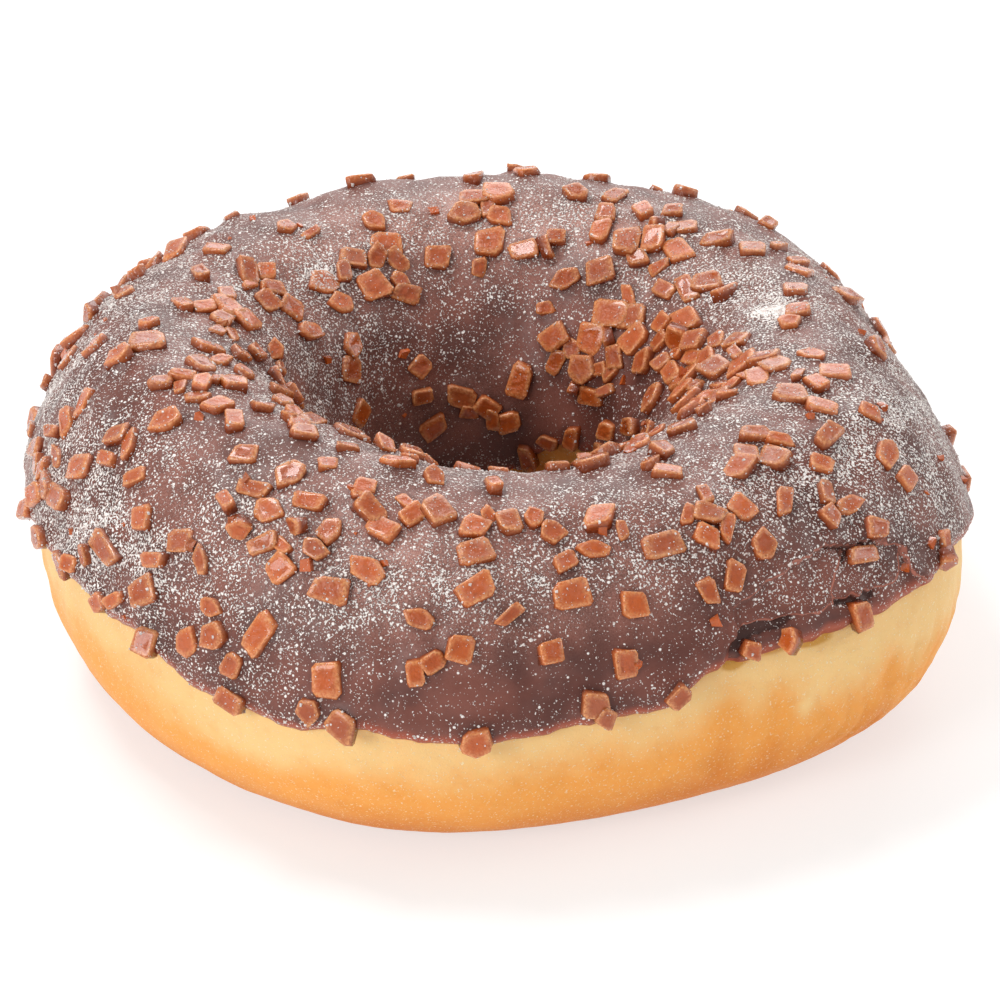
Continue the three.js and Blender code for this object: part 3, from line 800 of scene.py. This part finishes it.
# %% [markdown]
# Each finish is a Principled shader on coordinates in millimetres. What varies goes only into its
# colour, roughness, coat and bump, and for the floor into its glow. All the rest is set on the
# shader itself. A colour is built like paint: a base with layers over it, each with its share.

# %% Finishes
DUST_EDGE, DUST_RIM = (0, 0.035), (-0.11, -0.03)
DUST_LEVEL, DUST_DROP = 0.7, 0.38
SPECK_RADIUS, SPECK_SPREAD = 0.2, 0.22
SPECK_EDGE = (-0.12, 0.12)


class Finish(Graph):
    """A material whose patterns are made on coordinates in millimetres."""

    def __init__(self, name, **constants):
        self.material = bpy.data.materials.new(name)
        self.material.use_nodes = True
        super().__init__(self.material.node_tree)
        self.shader = self.tree.nodes["Principled BSDF"]
        for key, value in constants.items():
            self.shader.inputs[key.replace("_", " ")].default_value = value
        metres = self.node("ShaderNodeTexCoord", output="Object")
        self.place = self.node("ShaderNodeVectorMath", {"operation": "SCALE"}, {0: metres, "Scale": 1 / MM})

    def attribute(self, name):
        return self.node("ShaderNodeAttribute", {"attribute_name": name}, output="Fac")

    def noise(self, size, detail=2, roughness=0.5):
        """Smooth noise from 0 to 1 with patches of a size in millimetres."""
        values = {"Vector": self.place, "Scale": 1 / size, "Detail": detail, "Roughness": roughness}
        return self.node("ShaderNodeTexNoise", values=values)

    def specks(self, size, share):
        """Round specks in cells of a size, present in a share of the cells, and 0 between them."""
        cells = {"Vector": self.place, "Scale": 1 / size}
        far = self.node("ShaderNodeTexVoronoi", values=cells, output="Distance")
        lot = self.node("ShaderNodeTexVoronoi", values=cells, output="Color")
        chance = self.node("ShaderNodeSeparateColor", values={0: lot})
        spread = self.node("ShaderNodeSeparateColor", values={0: lot}, output=1)
        radius = spread * SPECK_SPREAD + SPECK_RADIUS
        return (1 - (far - radius).ramp(*SPECK_EDGE)) * (chance < share)

    def dusting(self, size, share):
        """Irregular specks of a size, which run together as their share grows, and their shade."""
        above = self.noise(size, 1) - (DUST_LEVEL - share * DUST_DROP)
        return above.ramp(*DUST_EDGE), above.ramp(*DUST_RIM)

    def mix(self, factor, first, second):
        """A colour between two, which are colours or links."""
        values = {"Factor_Float": factor, "A_Color": first, "B_Color": second}
        return self.node("ShaderNodeMix", {"data_type": "RGBA"}, values, "Result_Color")

    def layers(self, base, *layers):
        """A base colour with others laid over it in turn, as pairs of a share and a colour."""
        for share, over in layers:
            base = self.mix(share, base, over)
        return base

    def up(self):
        """How far the surface faces up, from -1 to 1."""
        normal = self.node("ShaderNodeNewGeometry", output="Normal")
        return self.node("ShaderNodeSeparateXYZ", values={0: normal}, output=2)

    def bump(self, height, size, strength=1):
        """Relief in the shading of a height from 0 to 1 that stands for a size in millimetres."""
        values = {"Height": height, "Distance": size * MM, "Strength": strength}
        return self.node("ShaderNodeBump", values=values)

    def put(self, **links):
        for key, value in links.items():
            self.tree.links.new(value.socket, self.shader.inputs[key.replace("_", " ")])
        print(self.material.name, len(self.tree.nodes), "nodes")
        return self.material


def colour(red, green, blue):
    """A colour given as the eye sees it, from 0 to 255, as the shader wants it."""
    seen = np.array([red, green, blue]) / 255
    linear = np.where(seen < 0.04045, seen / 12.92, ((seen + 0.055) / 1.055) ** 2.4)
    return (*linear.tolist(), 1)


WHITE, BLACK = colour(255, 255, 255), colour(0, 0, 0)

# %% [markdown]
# Fried dough is pale cream where it floated clear of the fat and golden where it lay in it, with
# the brown deepest at the foot, in the hole and underneath. The skin is mottled at several sizes,
# a few upright bands on the right are more golden, an amber film lies under the broken plate, and
# a little light passes into it, so it gets some subsurface scattering.

# %% The dough's finish
CREAM = colour(244, 202, 136)
GOLD = colour(241, 162, 74)
BROWN = colour(216, 124, 34)
DEEP_BROWN = colour(160, 86, 34)
AMBER = colour(206, 146, 44)
SKIN_GLINT = colour(255, 240, 205)
GLINT_SIZE, GLINT_SHARE = 0.2, 0.12


def dough_finish():
    finish = Finish(
        "dough_finish", Subsurface_Weight=0.18, Subsurface_Scale=0.0012, Subsurface_Radius=(1, 0.5, 0.25),
        IOR=1.42, Specular_IOR_Level=0.3,
    )
    below = finish.attribute("below_edge")
    broad = finish.noise(7, 3)
    blotches = finish.noise(2.2, 4, 0.6)
    fine = finish.noise(0.4, 3, 0.6)
    glints, _ = finish.dusting(GLINT_SIZE, GLINT_SHARE)
    level = below + (broad - 0.5) * 4 + (blotches - 0.5) * 2.5 + finish.attribute("golden") * 3
    skin = finish.layers(
        CREAM,
        (level.ramp(1, 6.5), GOLD),
        (level.ramp(6.5, 15), BROWN),
        ((0 - finish.up()).ramp(0.72, 1) * 0.75, DEEP_BROWN),
        (blotches.ramp(0.5, 0.8) * 0.16, BROWN),
        (fine.ramp(0.35, 0.75) * 0.14, CREAM),
        (finish.attribute("amber").ramp(0.35, 0.75) * 0.8, AMBER),
        (glints * 0.55, SKIN_GLINT),
    )
    relief = fine * 0.4 + blotches * 0.5 + finish.noise(0.16, 2) * 0.14 + glints * 0.3
    return finish.put(
        Base_Color=skin, Roughness=fine.ramp(0.2, 0.8, 0.5, 0.66), Normal=finish.bump(relief, 0.16, 0.8)
    )


dough.data.materials.append(dough_finish())

# %% [markdown]
# Dark chocolate icing is satin, not glossy: it set with a bloom, here partly a painted sheen, and
# carries sugar dust. The dust too fine to model is irregular specks in the colour, as dense as the
# sugar map says. They come from one noise cut off at a level that falls where there is more sugar,
# so that single specks run together into a crust, and a lower level of the same noise gives each
# speck a rim of painted shade. A few round dots are the coarser grains. Where the icing thins at
# its ends and along its cracks, it is redder, and painted shade darkens it in the recesses and
# close to the chips.

# %% The icing's finish
CHOCOLATE = colour(126, 71, 58)
DARK_CHOCOLATE = colour(88, 47, 39)
THIN_CHOCOLATE = colour(164, 70, 40)
SHADED_CHOCOLATE = colour(48, 30, 27)
CRACK_RED = colour(186, 112, 92)
DUST = colour(250, 245, 240)
GREY_DUST = colour(206, 176, 166)
BLOOM_AND_SHEEN = colour(212, 162, 148)
DUST_SIZE, DOT_SIZE = 0.19, 0.34
CRACK_LINE, THIN_END = (0.04, 0.14, 1, 0), (0.2, 1.1, 1, 0)


def icing_finish():
    finish = Finish("icing_finish", IOR=1.5, Specular_IOR_Level=0.4)
    sugar = finish.attribute("sugar")
    broad = finish.noise(5, 3)
    fine = finish.noise(0.35, 3, 0.6)
    nearest = finish.attribute("break").absolute()
    for number in range(len(CRACKS)):
        nearest = nearest.least(finish.attribute(f"crack_{number}").absolute())
    crack = nearest.ramp(*CRACK_LINE)
    recess = finish.attribute("recess").ramp(-0.02, 0.12)
    cover = sugar * (1 - crack) * (1 - recess * 0.6)
    dust, shade = finish.dusting(DUST_SIZE, cover * 0.85 + (broad - 0.5) * 0.1)
    dots = finish.specks(DOT_SIZE, cover * 0.6)
    # The rosy film: partly the chocolate's own, partly a painted sheen.
    haze = finish.attribute("bloom") * (broad * 0.8 + 0.2) * (finish.noise(0.13, 1).ramp(0.35, 0.65) + 0.5)
    base = finish.layers(
        DARK_CHOCOLATE,
        (broad.ramp(0.3, 0.7), CHOCOLATE),
        (finish.attribute("end_distance").ramp(*THIN_END) * 0.9, THIN_CHOCOLATE),
        (crack * fine.ramp(0.25, 0.5) * 0.8, CRACK_RED),
        # Painted shade: in the recesses, close to the chips and round each sugar speck.
        (recess * 0.7, SHADED_CHOCOLATE),
        (haze, BLOOM_AND_SHEEN),
        (finish.attribute("chip_shade") * 0.4, SHADED_CHOCOLATE),
        (shade * (sugar * 1.3).least(0.7), SHADED_CHOCOLATE),
        (dust * 0.9, finish.mix(fine.ramp(0.3, 0.55), GREY_DUST, DUST)),
        (dots, DUST),
    )
    grit = dust.most(dots)
    relief = fine * 0.25 + finish.noise(1.1, 2) * 0.4 + grit * 0.6 - crack * 0.8
    return finish.put(
        Base_Color=base, Roughness=fine.ramp(0.2, 0.8, 0.38, 0.52) + grit * 0.3,
        Normal=finish.bump(relief, 0.09, 0.8),
    )


icing.data.materials.append(icing_finish())

# %% [markdown]
# A chip is a broken piece of caramel slab: flat, blocky, four- or five-sided, with rounded edges
# that stand a touch proud of a slightly dished top. There are far too many to model by hand, so a
# dozen shapes are made by rule, each in a unit box with its own uneven outline and slant, and
# each chip then takes one of them, stretched to its own size.

# %% A dozen chip shapes
CHIP_SHAPE_SEED = 7
CHIP_LEVELS = [
    (-0.5, 0.98, 0), (0, 1, 0), (0.32, 0.98, 0.3), (0.45, 0.92, 1), (0.5, 0.82, 0.7), (0.47, 0.48, 0),
]
CHIP_SIDES = [4, 4, 5, 4, 4, 4, 4, 4, 5, 4, 4, 4]
FIRST_CORNER = {4: 45, 5: 54}
CORNER_TURN = 10
CORNER_REACH = (0.54, 0.74)
CORNER_CUT = (0.07, 0.2)
CHIP_SLANT = 0.3
CHIP_WOBBLE = 0.04


def chip_outline(random, sides):
    """The corners of a chip seen from above, each cut into two so that its edge is rounded."""
    turns = FIRST_CORNER[sides] + 360 / sides * np.arange(sides)
    turns += random.uniform(-CORNER_TURN, CORNER_TURN, sides)
    corners = np.stack([np.cos(np.radians(turns)), np.sin(np.radians(turns))], axis=1)
    corners *= random.uniform(*CORNER_REACH, (sides, 1))
    before, after = np.roll(corners, 1, axis=0), np.roll(corners, -1, axis=0)
    cut = random.uniform(*CORNER_CUT, (sides, 1))
    pairs = np.stack([corners + (before - corners) * cut, corners + (after - corners) * cut], axis=1)
    outline = pairs.reshape(-1, 2)
    outline -= (outline.max(0) + outline.min(0)) / 2
    return outline / (outline.max(0) - outline.min(0))


def chip_shape(number):
    """One chip in a unit box, with rim = 1 along its upper edge and side = 1 at its foot."""
    random = np.random.default_rng(CHIP_SHAPE_SEED + number)
    outline = chip_outline(random, CHIP_SIDES[number])
    slant = random.uniform(-CHIP_SLANT, CHIP_SLANT, 2)
    count = len(outline)
    points = []
    for height, size, _ in CHIP_LEVELS:
        flat = outline * size * (1 + random.uniform(-CHIP_WOBBLE, CHIP_WOBBLE, (count, 1)))
        tilt = flat @ slant + random.uniform(-CHIP_WOBBLE, CHIP_WOBBLE, count)
        points += np.column_stack([flat, height + tilt * (height > 0)]).tolist()
    top = len(points) - count
    faces = [list(range(count))[::-1]]
    for low in range(0, top, count):
        for i in range(count):
            j = (i + 1) % count
            faces.append([low + i, low + j, low + count + j, low + count + i])
    faces.append(list(range(top, top + count)))
    mesh = mesh_of(f"chip_shape_{number:02d}", points, faces)
    heights, _, rims = np.repeat(CHIP_LEVELS, count, axis=0).T
    carry(mesh, {"rim": rims, "side": 0.5 - heights})
    mesh.shade_smooth()
    return mesh


def collection_of(name, meshes):
    """A collection of shapes that Geometry Nodes can choose from."""
    shapes = bpy.data.collections.new(name)
    for mesh in meshes:
        shapes.objects.link(bpy.data.objects.new(mesh.name, mesh))
    print(name, "has", len(meshes), "shapes")
    return shapes


chip_shapes = collection_of("chip_shapes", [chip_shape(number) for number in range(len(CHIP_SIDES))])

# %% [markdown]
# Each chip's seat is a point with its turn, its size, its shape's number, its tint and the sugar
# on it. The turn is built from the surface: out of the icing, turned, leaned and sunk in a
# little. Most chips lie flat, some lean, and a few stand on their edge.

# %% Seat the chips
LEAN_LOTS = (0, 0.8, 0.96, 0.96, 1)
LEAN_ANGLES = (0, 10, 26, 50, 75)
A_LITTLE = 0.5
CHIP_SUGAR = 0.5
CHIP_LOOK_SEED = 61


def unit(vector):
    return vector / np.linalg.norm(vector)


def chip_seat(chip):
    """The middle of a chip in millimetres and its turn about the three axes."""
    azimuth, angle = chip["azimuth"], chip["angle"]
    along = unit(ring_points(azimuth + A_LITTLE, angle, 0) - ring_points(azimuth - A_LITTLE, angle, 0))
    across = unit(ring_points(azimuth, angle + A_LITTLE, 0) - ring_points(azimuth, angle - A_LITTLE, 0))
    out = unit(np.cross(along, across))
    surface = Matrix(np.column_stack([along, np.cross(out, along), out]).tolist())
    tilt = np.radians(np.interp(chip["lean"], LEAN_LOTS, LEAN_ANGLES))
    lean_way = np.radians(chip["lean_turn"])
    leaning = Matrix.Rotation(tilt, 3, (np.cos(lean_way), np.sin(lean_way), 0))
    turning = Matrix.Rotation(np.radians(chip["turn"]), 3, "Z")
    half = 0.5 * between(chip["thickness"], chip["length"] * chip["slimness"], np.sin(tilt) ** 2)
    relief, _ = icing_relief(np.array([azimuth]), np.array([angle]))
    middle = ring_points(azimuth, angle, 0) + out * (half - CHIP_SINK + relief[0])
    return middle, tuple((surface @ leaning @ turning).to_euler())


def seat_mesh(name, chips):
    """A mesh of points, one for each chip, with the values that place its shape."""
    random = np.random.default_rng(CHIP_LOOK_SEED)
    middles, turns = zip(*[chip_seat(chip) for chip in chips])
    mesh = mesh_of(name, middles, [])
    azimuths, angles = np.array([(chip["azimuth"], chip["angle"]) for chip in chips]).T
    sugar = CHIP_SUGAR * sugar_cover(azimuths, angles, ring_points(azimuths, angles, 0))
    sizes = [(c["length"], c["length"] * c["slimness"], c["thickness"]) for c in chips]
    carry(mesh, {"turn": turns, "size": sizes}, "FLOAT_VECTOR")
    carry(mesh, {"shape": random.integers(0, len(CHIP_SIDES), len(chips))}, "INT")
    carry(mesh, {"sugar": sugar, "tint": random.random(len(chips))})
    return mesh


chip_seats = add_object("caramel_chips", seat_mesh("caramel_chips", chips))
print(len(chip_seats.data.vertices), "seats")

# %% [markdown]
# Geometry Nodes puts a shape on every seat. The tree is: instance on points, realize, push the
# corners about by noise so that no two chips are alike, and set the material. Small functions
# start a tree with its named inputs, put shapes on points, end the tree, and run it and keep the
# plain mesh.

# %% Trees that make geometry
def geometry_graph(name, inputs):
    """A Geometry Nodes tree with named inputs, and those inputs as values."""
    tree = bpy.data.node_groups.new(name, "GeometryNodeTree")
    tree.interface.new_socket("Geometry", in_out="OUTPUT", socket_type="NodeSocketGeometry")
    tree.interface.new_socket("Geometry", in_out="INPUT", socket_type="NodeSocketGeometry")
    for label, kind in inputs.items():
        tree.interface.new_socket(label, in_out="INPUT", socket_type=f"NodeSocket{kind}")
    graph = Graph(tree)
    entry = tree.nodes.new("NodeGroupInput")
    return graph, {socket.name: Value(graph, socket) for socket in entry.outputs if socket.name}


def stored(graph, name, kind="FLOAT"):
    return graph.node("GeometryNodeInputNamedAttribute", {"data_type": kind}, {"Name": name}, "Attribute")


def shapes_on_points(graph, points, shapes, index, turn, size):
    """Shapes of a collection on points, chosen by an index, turned and sized."""
    chosen = graph.node("GeometryNodeCollectionInfo", values={
        "Collection": shapes, "Separate Children": True, "Reset Children": True,
    })
    turn = graph.node("FunctionNodeEulerToRotation", values={0: turn})
    return graph.node("GeometryNodeInstanceOnPoints", values={
        "Points": points, "Instance": chosen, "Pick Instance": True, "Instance Index": index,
        "Rotation": turn, "Scale": size,
    })


def end_graph(graph, geometry, material):
    """Ends a tree in plain meshes with a material, and gives the tree."""
    real = graph.node("GeometryNodeRealizeInstances", values={0: geometry})
    done = graph.node("GeometryNodeSetMaterial", values={"Geometry": real, "Material": material})
    graph.node("NodeGroupOutput", values={0: done})
    print(graph.tree.name, len(graph.tree.nodes), "nodes")
    return graph.tree


def run_tree(piece, tree, values):
    """Runs a tree on a piece with values for its named inputs and keeps the result as its mesh."""
    modifier = piece.modifiers.new(tree.name, "NODES")
    modifier.node_group = tree
    for item in tree.interface.items_tree:
        if item.in_out == "INPUT" and item.name in values:
            modifier[item.identifier] = values[item.name]
    depsgraph = bpy.context.evaluated_depsgraph_get()
    mesh = bpy.data.meshes.new_from_object(piece.evaluated_get(depsgraph), depsgraph=depsgraph)
    piece.modifiers.remove(modifier)
    piece.data = mesh
    mesh.name = piece.name
    mesh.calc_loop_triangles()
    print(piece.name, len(mesh.loop_triangles), "triangles")
    return piece


# %% The tree that puts chips on their seats
graph, given = geometry_graph("chips_on_seats", {
    "Shapes": "Collection", "Lump size": "Float", "Lump depth": "Float", "Material": "Material",
})
turn, size = stored(graph, "turn", "FLOAT_VECTOR"), stored(graph, "size", "FLOAT_VECTOR")
seated = shapes_on_points(
    graph, given["Geometry"], given["Shapes"], stored(graph, "shape", "INT"), turn, size
)
solid = graph.node("GeometryNodeRealizeInstances", values={0: seated})
lumps = graph.node("ShaderNodeTexNoise", values={
    "Vector": graph.node("GeometryNodeInputPosition"), "Scale": 1 / given["Lump size"], "Detail": 1.0,
}, output="Color")
centred = graph.node("ShaderNodeVectorMath", {"operation": "SUBTRACT"}, {0: lumps, 1: (0.5, 0.5, 0.5)})
push = graph.node("ShaderNodeVectorMath", {"operation": "SCALE"}, {0: centred, "Scale": given["Lump depth"]})
lumpy = graph.node("GeometryNodeSetPosition", values={"Geometry": solid, "Offset": push})
chip_tree = end_graph(graph, lumpy, given["Material"])

# %% [markdown]
# Caramel is orange-brown and a little translucent. Its upper edges are paler with a painted
# highlight, its sides and foot are darker with painted shade, no two chips have quite the same
# tone, and sugar dust lies on the tops, with a pale film on upward faces that is partly sugar and
# partly a painted sheen. A thin, smooth coat gives the small sharp highlights that the real chips
# have. It is left out under the dust, which is dull.

# %% The caramel's finish
CARAMEL = colour(196, 92, 34)
PALE_CARAMEL = colour(250, 186, 124)
DARK_CARAMEL = colour(148, 62, 22)
SHADED_SIDE_CARAMEL = colour(108, 42, 18)
MILK_CARAMEL = colour(184, 98, 54)
LUMP_SIZE, LUMP_DEPTH = 0.9, 0.42


def caramel_finish():
    finish = Finish(
        "caramel_finish", Subsurface_Weight=0.12, Subsurface_Scale=0.0008, Subsurface_Radius=(1, 0.4, 0.2),
        Coat_Roughness=0.06, IOR=1.48, Specular_IOR_Level=0.3,
    )
    tint = finish.attribute("tint")
    sugar = finish.attribute("sugar")
    broad = finish.noise(1.4, 3, 0.6)
    fine = finish.noise(0.22, 3, 0.6)
    upward = finish.up().ramp(0.1, 0.95)
    # A pale film on upward faces: partly sugar, partly a painted sheen.
    sugar_and_sheen_film = sugar * upward * finish.noise(1.1, 4, 0.7).ramp(0.3, 0.7) * 0.4
    dust, _ = finish.dusting(DUST_SIZE, sugar * upward - 0.16)
    base = finish.layers(
        CARAMEL,
        (tint.ramp(0, 1) * 0.7, DARK_CARAMEL),
        (tint.ramp(0.75, 1) * 0.6, MILK_CARAMEL),
        (broad.ramp(0.35, 0.75) * 0.4, DARK_CARAMEL),
        # Painted shade: the chip's sides and foot are darker.
        (finish.attribute("side").ramp(0.08, 0.6) * 0.75, SHADED_SIDE_CARAMEL),
        # Painted highlight along each chip's upper edge.
        (finish.attribute("rim") * (fine.ramp(0.35, 0.65) * 0.5 + 0.15), PALE_CARAMEL),
        (fine.ramp(0.6, 0.85) * 0.15, PALE_CARAMEL),
        (sugar_and_sheen_film.least(0.25), DUST),
        (dust * 0.7, DUST),
    )
    relief = fine * 0.2 + finish.noise(0.8, 2) + dust * 0.3
    return finish.put(
        Base_Color=base, Roughness=fine.ramp(0.25, 0.75, 0.12, 0.27) + dust * 0.3,
        Coat_Weight=0.5 - dust * 0.5, Normal=finish.bump(relief, 0.3, 1),
    )


caramel = caramel_finish()
chips_piece = run_tree(chip_seats, chip_tree, {
    "Shapes": chip_shapes, "Lump size": LUMP_SIZE * MM, "Lump depth": LUMP_DEPTH * MM, "Material": caramel,
})

# %% [markdown]
# What is scattered over a surface needs no list of places. The second tree spreads points over
# the icing and the chips together, as many as the sugar map asks for, and puts a grain on each,
# turned at random and more often small than large. It serves the sugar, the dust and the crumbs.

# %% The tree that scatters grains
FULL_TURN = (6.283, 6.283, 6.283)
LAST_SHAPE = 11
LOT_BEND = 2

graph, given = geometry_graph("grains_on_surface", {
    "Icing": "Object", "Chips": "Object", "Shapes": "Collection", "Grains per area": "Float",
    "Even share": "Float", "Smallest": "Float", "Largest": "Float", "Seed": "Int", "Material": "Material",
})
surfaces = [
    graph.node("GeometryNodeObjectInfo", values={"Object": given[name]}, output="Geometry")
    for name in ("Icing", "Chips")
]
sugar = stored(graph, "sugar")
cover = (sugar + given["Even share"]) * (sugar > 0)
points = graph.node("GeometryNodeDistributePointsOnFaces", values={
    "Mesh": graph.node("GeometryNodeJoinGeometry", values={0: surfaces}),
    "Density": cover * given["Grains per area"], "Seed": given["Seed"],
})
turn = graph.node("FunctionNodeRandomValue", {"data_type": "FLOAT_VECTOR"}, {
    "Max": FULL_TURN, "Seed": given["Seed"],
})
lot = graph.node("FunctionNodeRandomValue", {"data_type": "FLOAT"}, {"Seed": given["Seed"] + 1}, "Value_001")
kind = graph.node("FunctionNodeRandomValue", {"data_type": "INT"}, {
    "Max_002": LAST_SHAPE, "Seed": given["Seed"] + 2,
}, "Value_002")
size = between(given["Smallest"], given["Largest"], lot**LOT_BEND)
grains = shapes_on_points(graph, points, given["Shapes"], kind, turn, size)
grain_tree = end_graph(graph, grains, given["Material"])

# %% [markdown]
# A grain of sugar is a small blunt box, dust is its splinters, and a crumb is a scrap of a chip.
# The grains are at true size, tenths of a millimetre, so there are tens of thousands of them and
# each has only the few faces that such a size can show.

# %% Grain shapes
GRAIN_STRETCH = (0.75, 1.1)


def unit_shapes(name, count, corners, faces, wobble, seed):
    """A collection of uneven copies of one shape, a millimetre across."""
    random = np.random.default_rng(seed)
    meshes = []
    for number in range(count):
        points = np.array(corners, float) * random.uniform(*GRAIN_STRETCH, 3)
        points += random.uniform(-wobble, wobble, points.shape)
        meshes.append(mesh_of(f"{name}_{number}", points, faces))
    return collection_of(name, meshes)


BOX = [(x, y, z) for z in (-0.5, 0.5) for x, y in ((-0.5, -0.5), (0.5, -0.5), (0.5, 0.5), (-0.5, 0.5))]
BOX_FACES = [(3, 2, 1, 0), (4, 5, 6, 7), (0, 1, 5, 4), (1, 2, 6, 5), (2, 3, 7, 6), (3, 0, 4, 7)]
SPLINTER = [(-0.5, -0.4, -0.3), (0.5, -0.4, -0.3), (0, 0.5, -0.3), (0, 0, 0.5)]
SPLINTER_FACES = [(0, 2, 1), (0, 1, 3), (1, 2, 3), (2, 0, 3)]
sugar_shapes = unit_shapes("sugar_shapes", 4, BOX, BOX_FACES, 0.12, 71)
dust_shapes = unit_shapes("dust_shapes", 4, SPLINTER, SPLINTER_FACES, 0.12, 72)
crumb_shapes = unit_shapes("crumb_shapes", 6, BOX, BOX_FACES, 0.2, 73)

# %% The sugar's finish
SUGAR_WHITE = colour(238, 232, 227)
SUGAR_GREY = colour(208, 198, 192)


def sugar_finish():
    finish = Finish("sugar_finish", Specular_IOR_Level=0.4)
    grain = finish.noise(0.5, 2)
    tone = finish.mix(grain.ramp(0.3, 0.7), SUGAR_WHITE, SUGAR_GREY)
    return finish.put(Base_Color=tone, Roughness=grain.ramp(0.3, 0.7, 0.4, 0.6))


# %% Scatter the sugar, the dust and the crumbs
SCATTERS = {
    "sugar_grains": (sugar_shapes, 0.6, 0.02, 0.12, 0.26, 81),
    "sugar_dust": (dust_shapes, 7, 0.03, 0.1, 0.24, 82),
    "caramel_crumbs": (crumb_shapes, 0.012, 0.3, 0.25, 1.0, 83),
}
sugar_white = sugar_finish()
scattered = {}
for name, (shapes, per_mm2, even, smallest, largest, seed) in SCATTERS.items():
    scattered[name] = run_tree(add_object(name, bpy.data.meshes.new(name)), grain_tree, {
        "Icing": icing, "Chips": chips_piece, "Shapes": shapes, "Grains per area": per_mm2 / MM**2,
        "Even share": even, "Smallest": smallest, "Largest": largest, "Seed": seed,
        "Material": caramel if name == "caramel_crumbs" else sugar_white,
    })

# %% [markdown]
# Now the pieces join the frame. Each rides on the model's one body, and the solid that it
# stands for is hidden.

# %% Join the frame
PIECES = {
    "dough": (dough, "dough"), "icing": (icing, "icing"), "caramel_chips": (chips_piece, "icing"),
}
for slot, (piece, node) in PIECES.items():
    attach(piece, "root")
    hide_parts(node)
for name, piece in scattered.items():
    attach(piece, "root")

# %% [markdown]
# The floor and the light are a photographer's light table: a pale floor that glows a little, one
# large soft light behind, smaller ones overhead, at the front left and at the right for crisp
# glints, and an even surround, so that shadows are faint and the crest shows a broad sheen. The
# floor's glow stops inside the ring, or it would light the hole from below.

# %% Floor and light
FLOOR_SIZE = 6000
FLOOR_TONE = colour(180, 180, 180)
SURROUND = 0.5
FLOOR_GLOW = 0.6
GLOW_FROM, GLOW_TO = 24, 28
LIGHTS = {
    "overhead": ((-300, 150, 800), 240, 3.4),
    "behind": ((100, 1100, 620), 900, 6.5),
    "front_left": ((-650, -700, 420), 360, 3.8),
    "right": ((850, 200, 420), 360, 1.8),
}

half = FLOOR_SIZE / 2
corners = [(-half, -half, 0), (half, -half, 0), (half, half, 0), (-half, half, 0)]
floor = add_object("floor", mesh_of("floor", corners, [(0, 1, 2, 3)]))
floor_finish = Finish(
    "floor_finish", Base_Color=FLOOR_TONE, Roughness=0.9, Specular_IOR_Level=0, Emission_Strength=FLOOR_GLOW,
)
place = {0: floor_finish.place}
from_middle = floor_finish.node("ShaderNodeVectorMath", {"operation": "LENGTH"}, place, "Value")
glow = floor_finish.mix(from_middle.ramp(GLOW_FROM, GLOW_TO), BLACK, WHITE)
floor.data.materials.append(floor_finish.put(Emission_Color=glow))

SCENE.world = bpy.data.worlds.new("surround")
SCENE.world.use_nodes = True
background = SCENE.world.node_tree.nodes["Background"].inputs
background["Color"].default_value = WHITE
background["Strength"].default_value = SURROUND
SCENE.view_settings.view_transform = "Standard"
for name, (place, size, power) in LIGHTS.items():
    lamp = add_object(name, bpy.data.lights.new(name, "AREA"))
    lamp.data.size = size * MM
    lamp.data.energy = power
    lamp.location = [v * MM for v in place]
    lamp.rotation_euler = (-lamp.location).to_track_quat("-Z", "Y").to_euler()
print(len(LIGHTS), "lights")
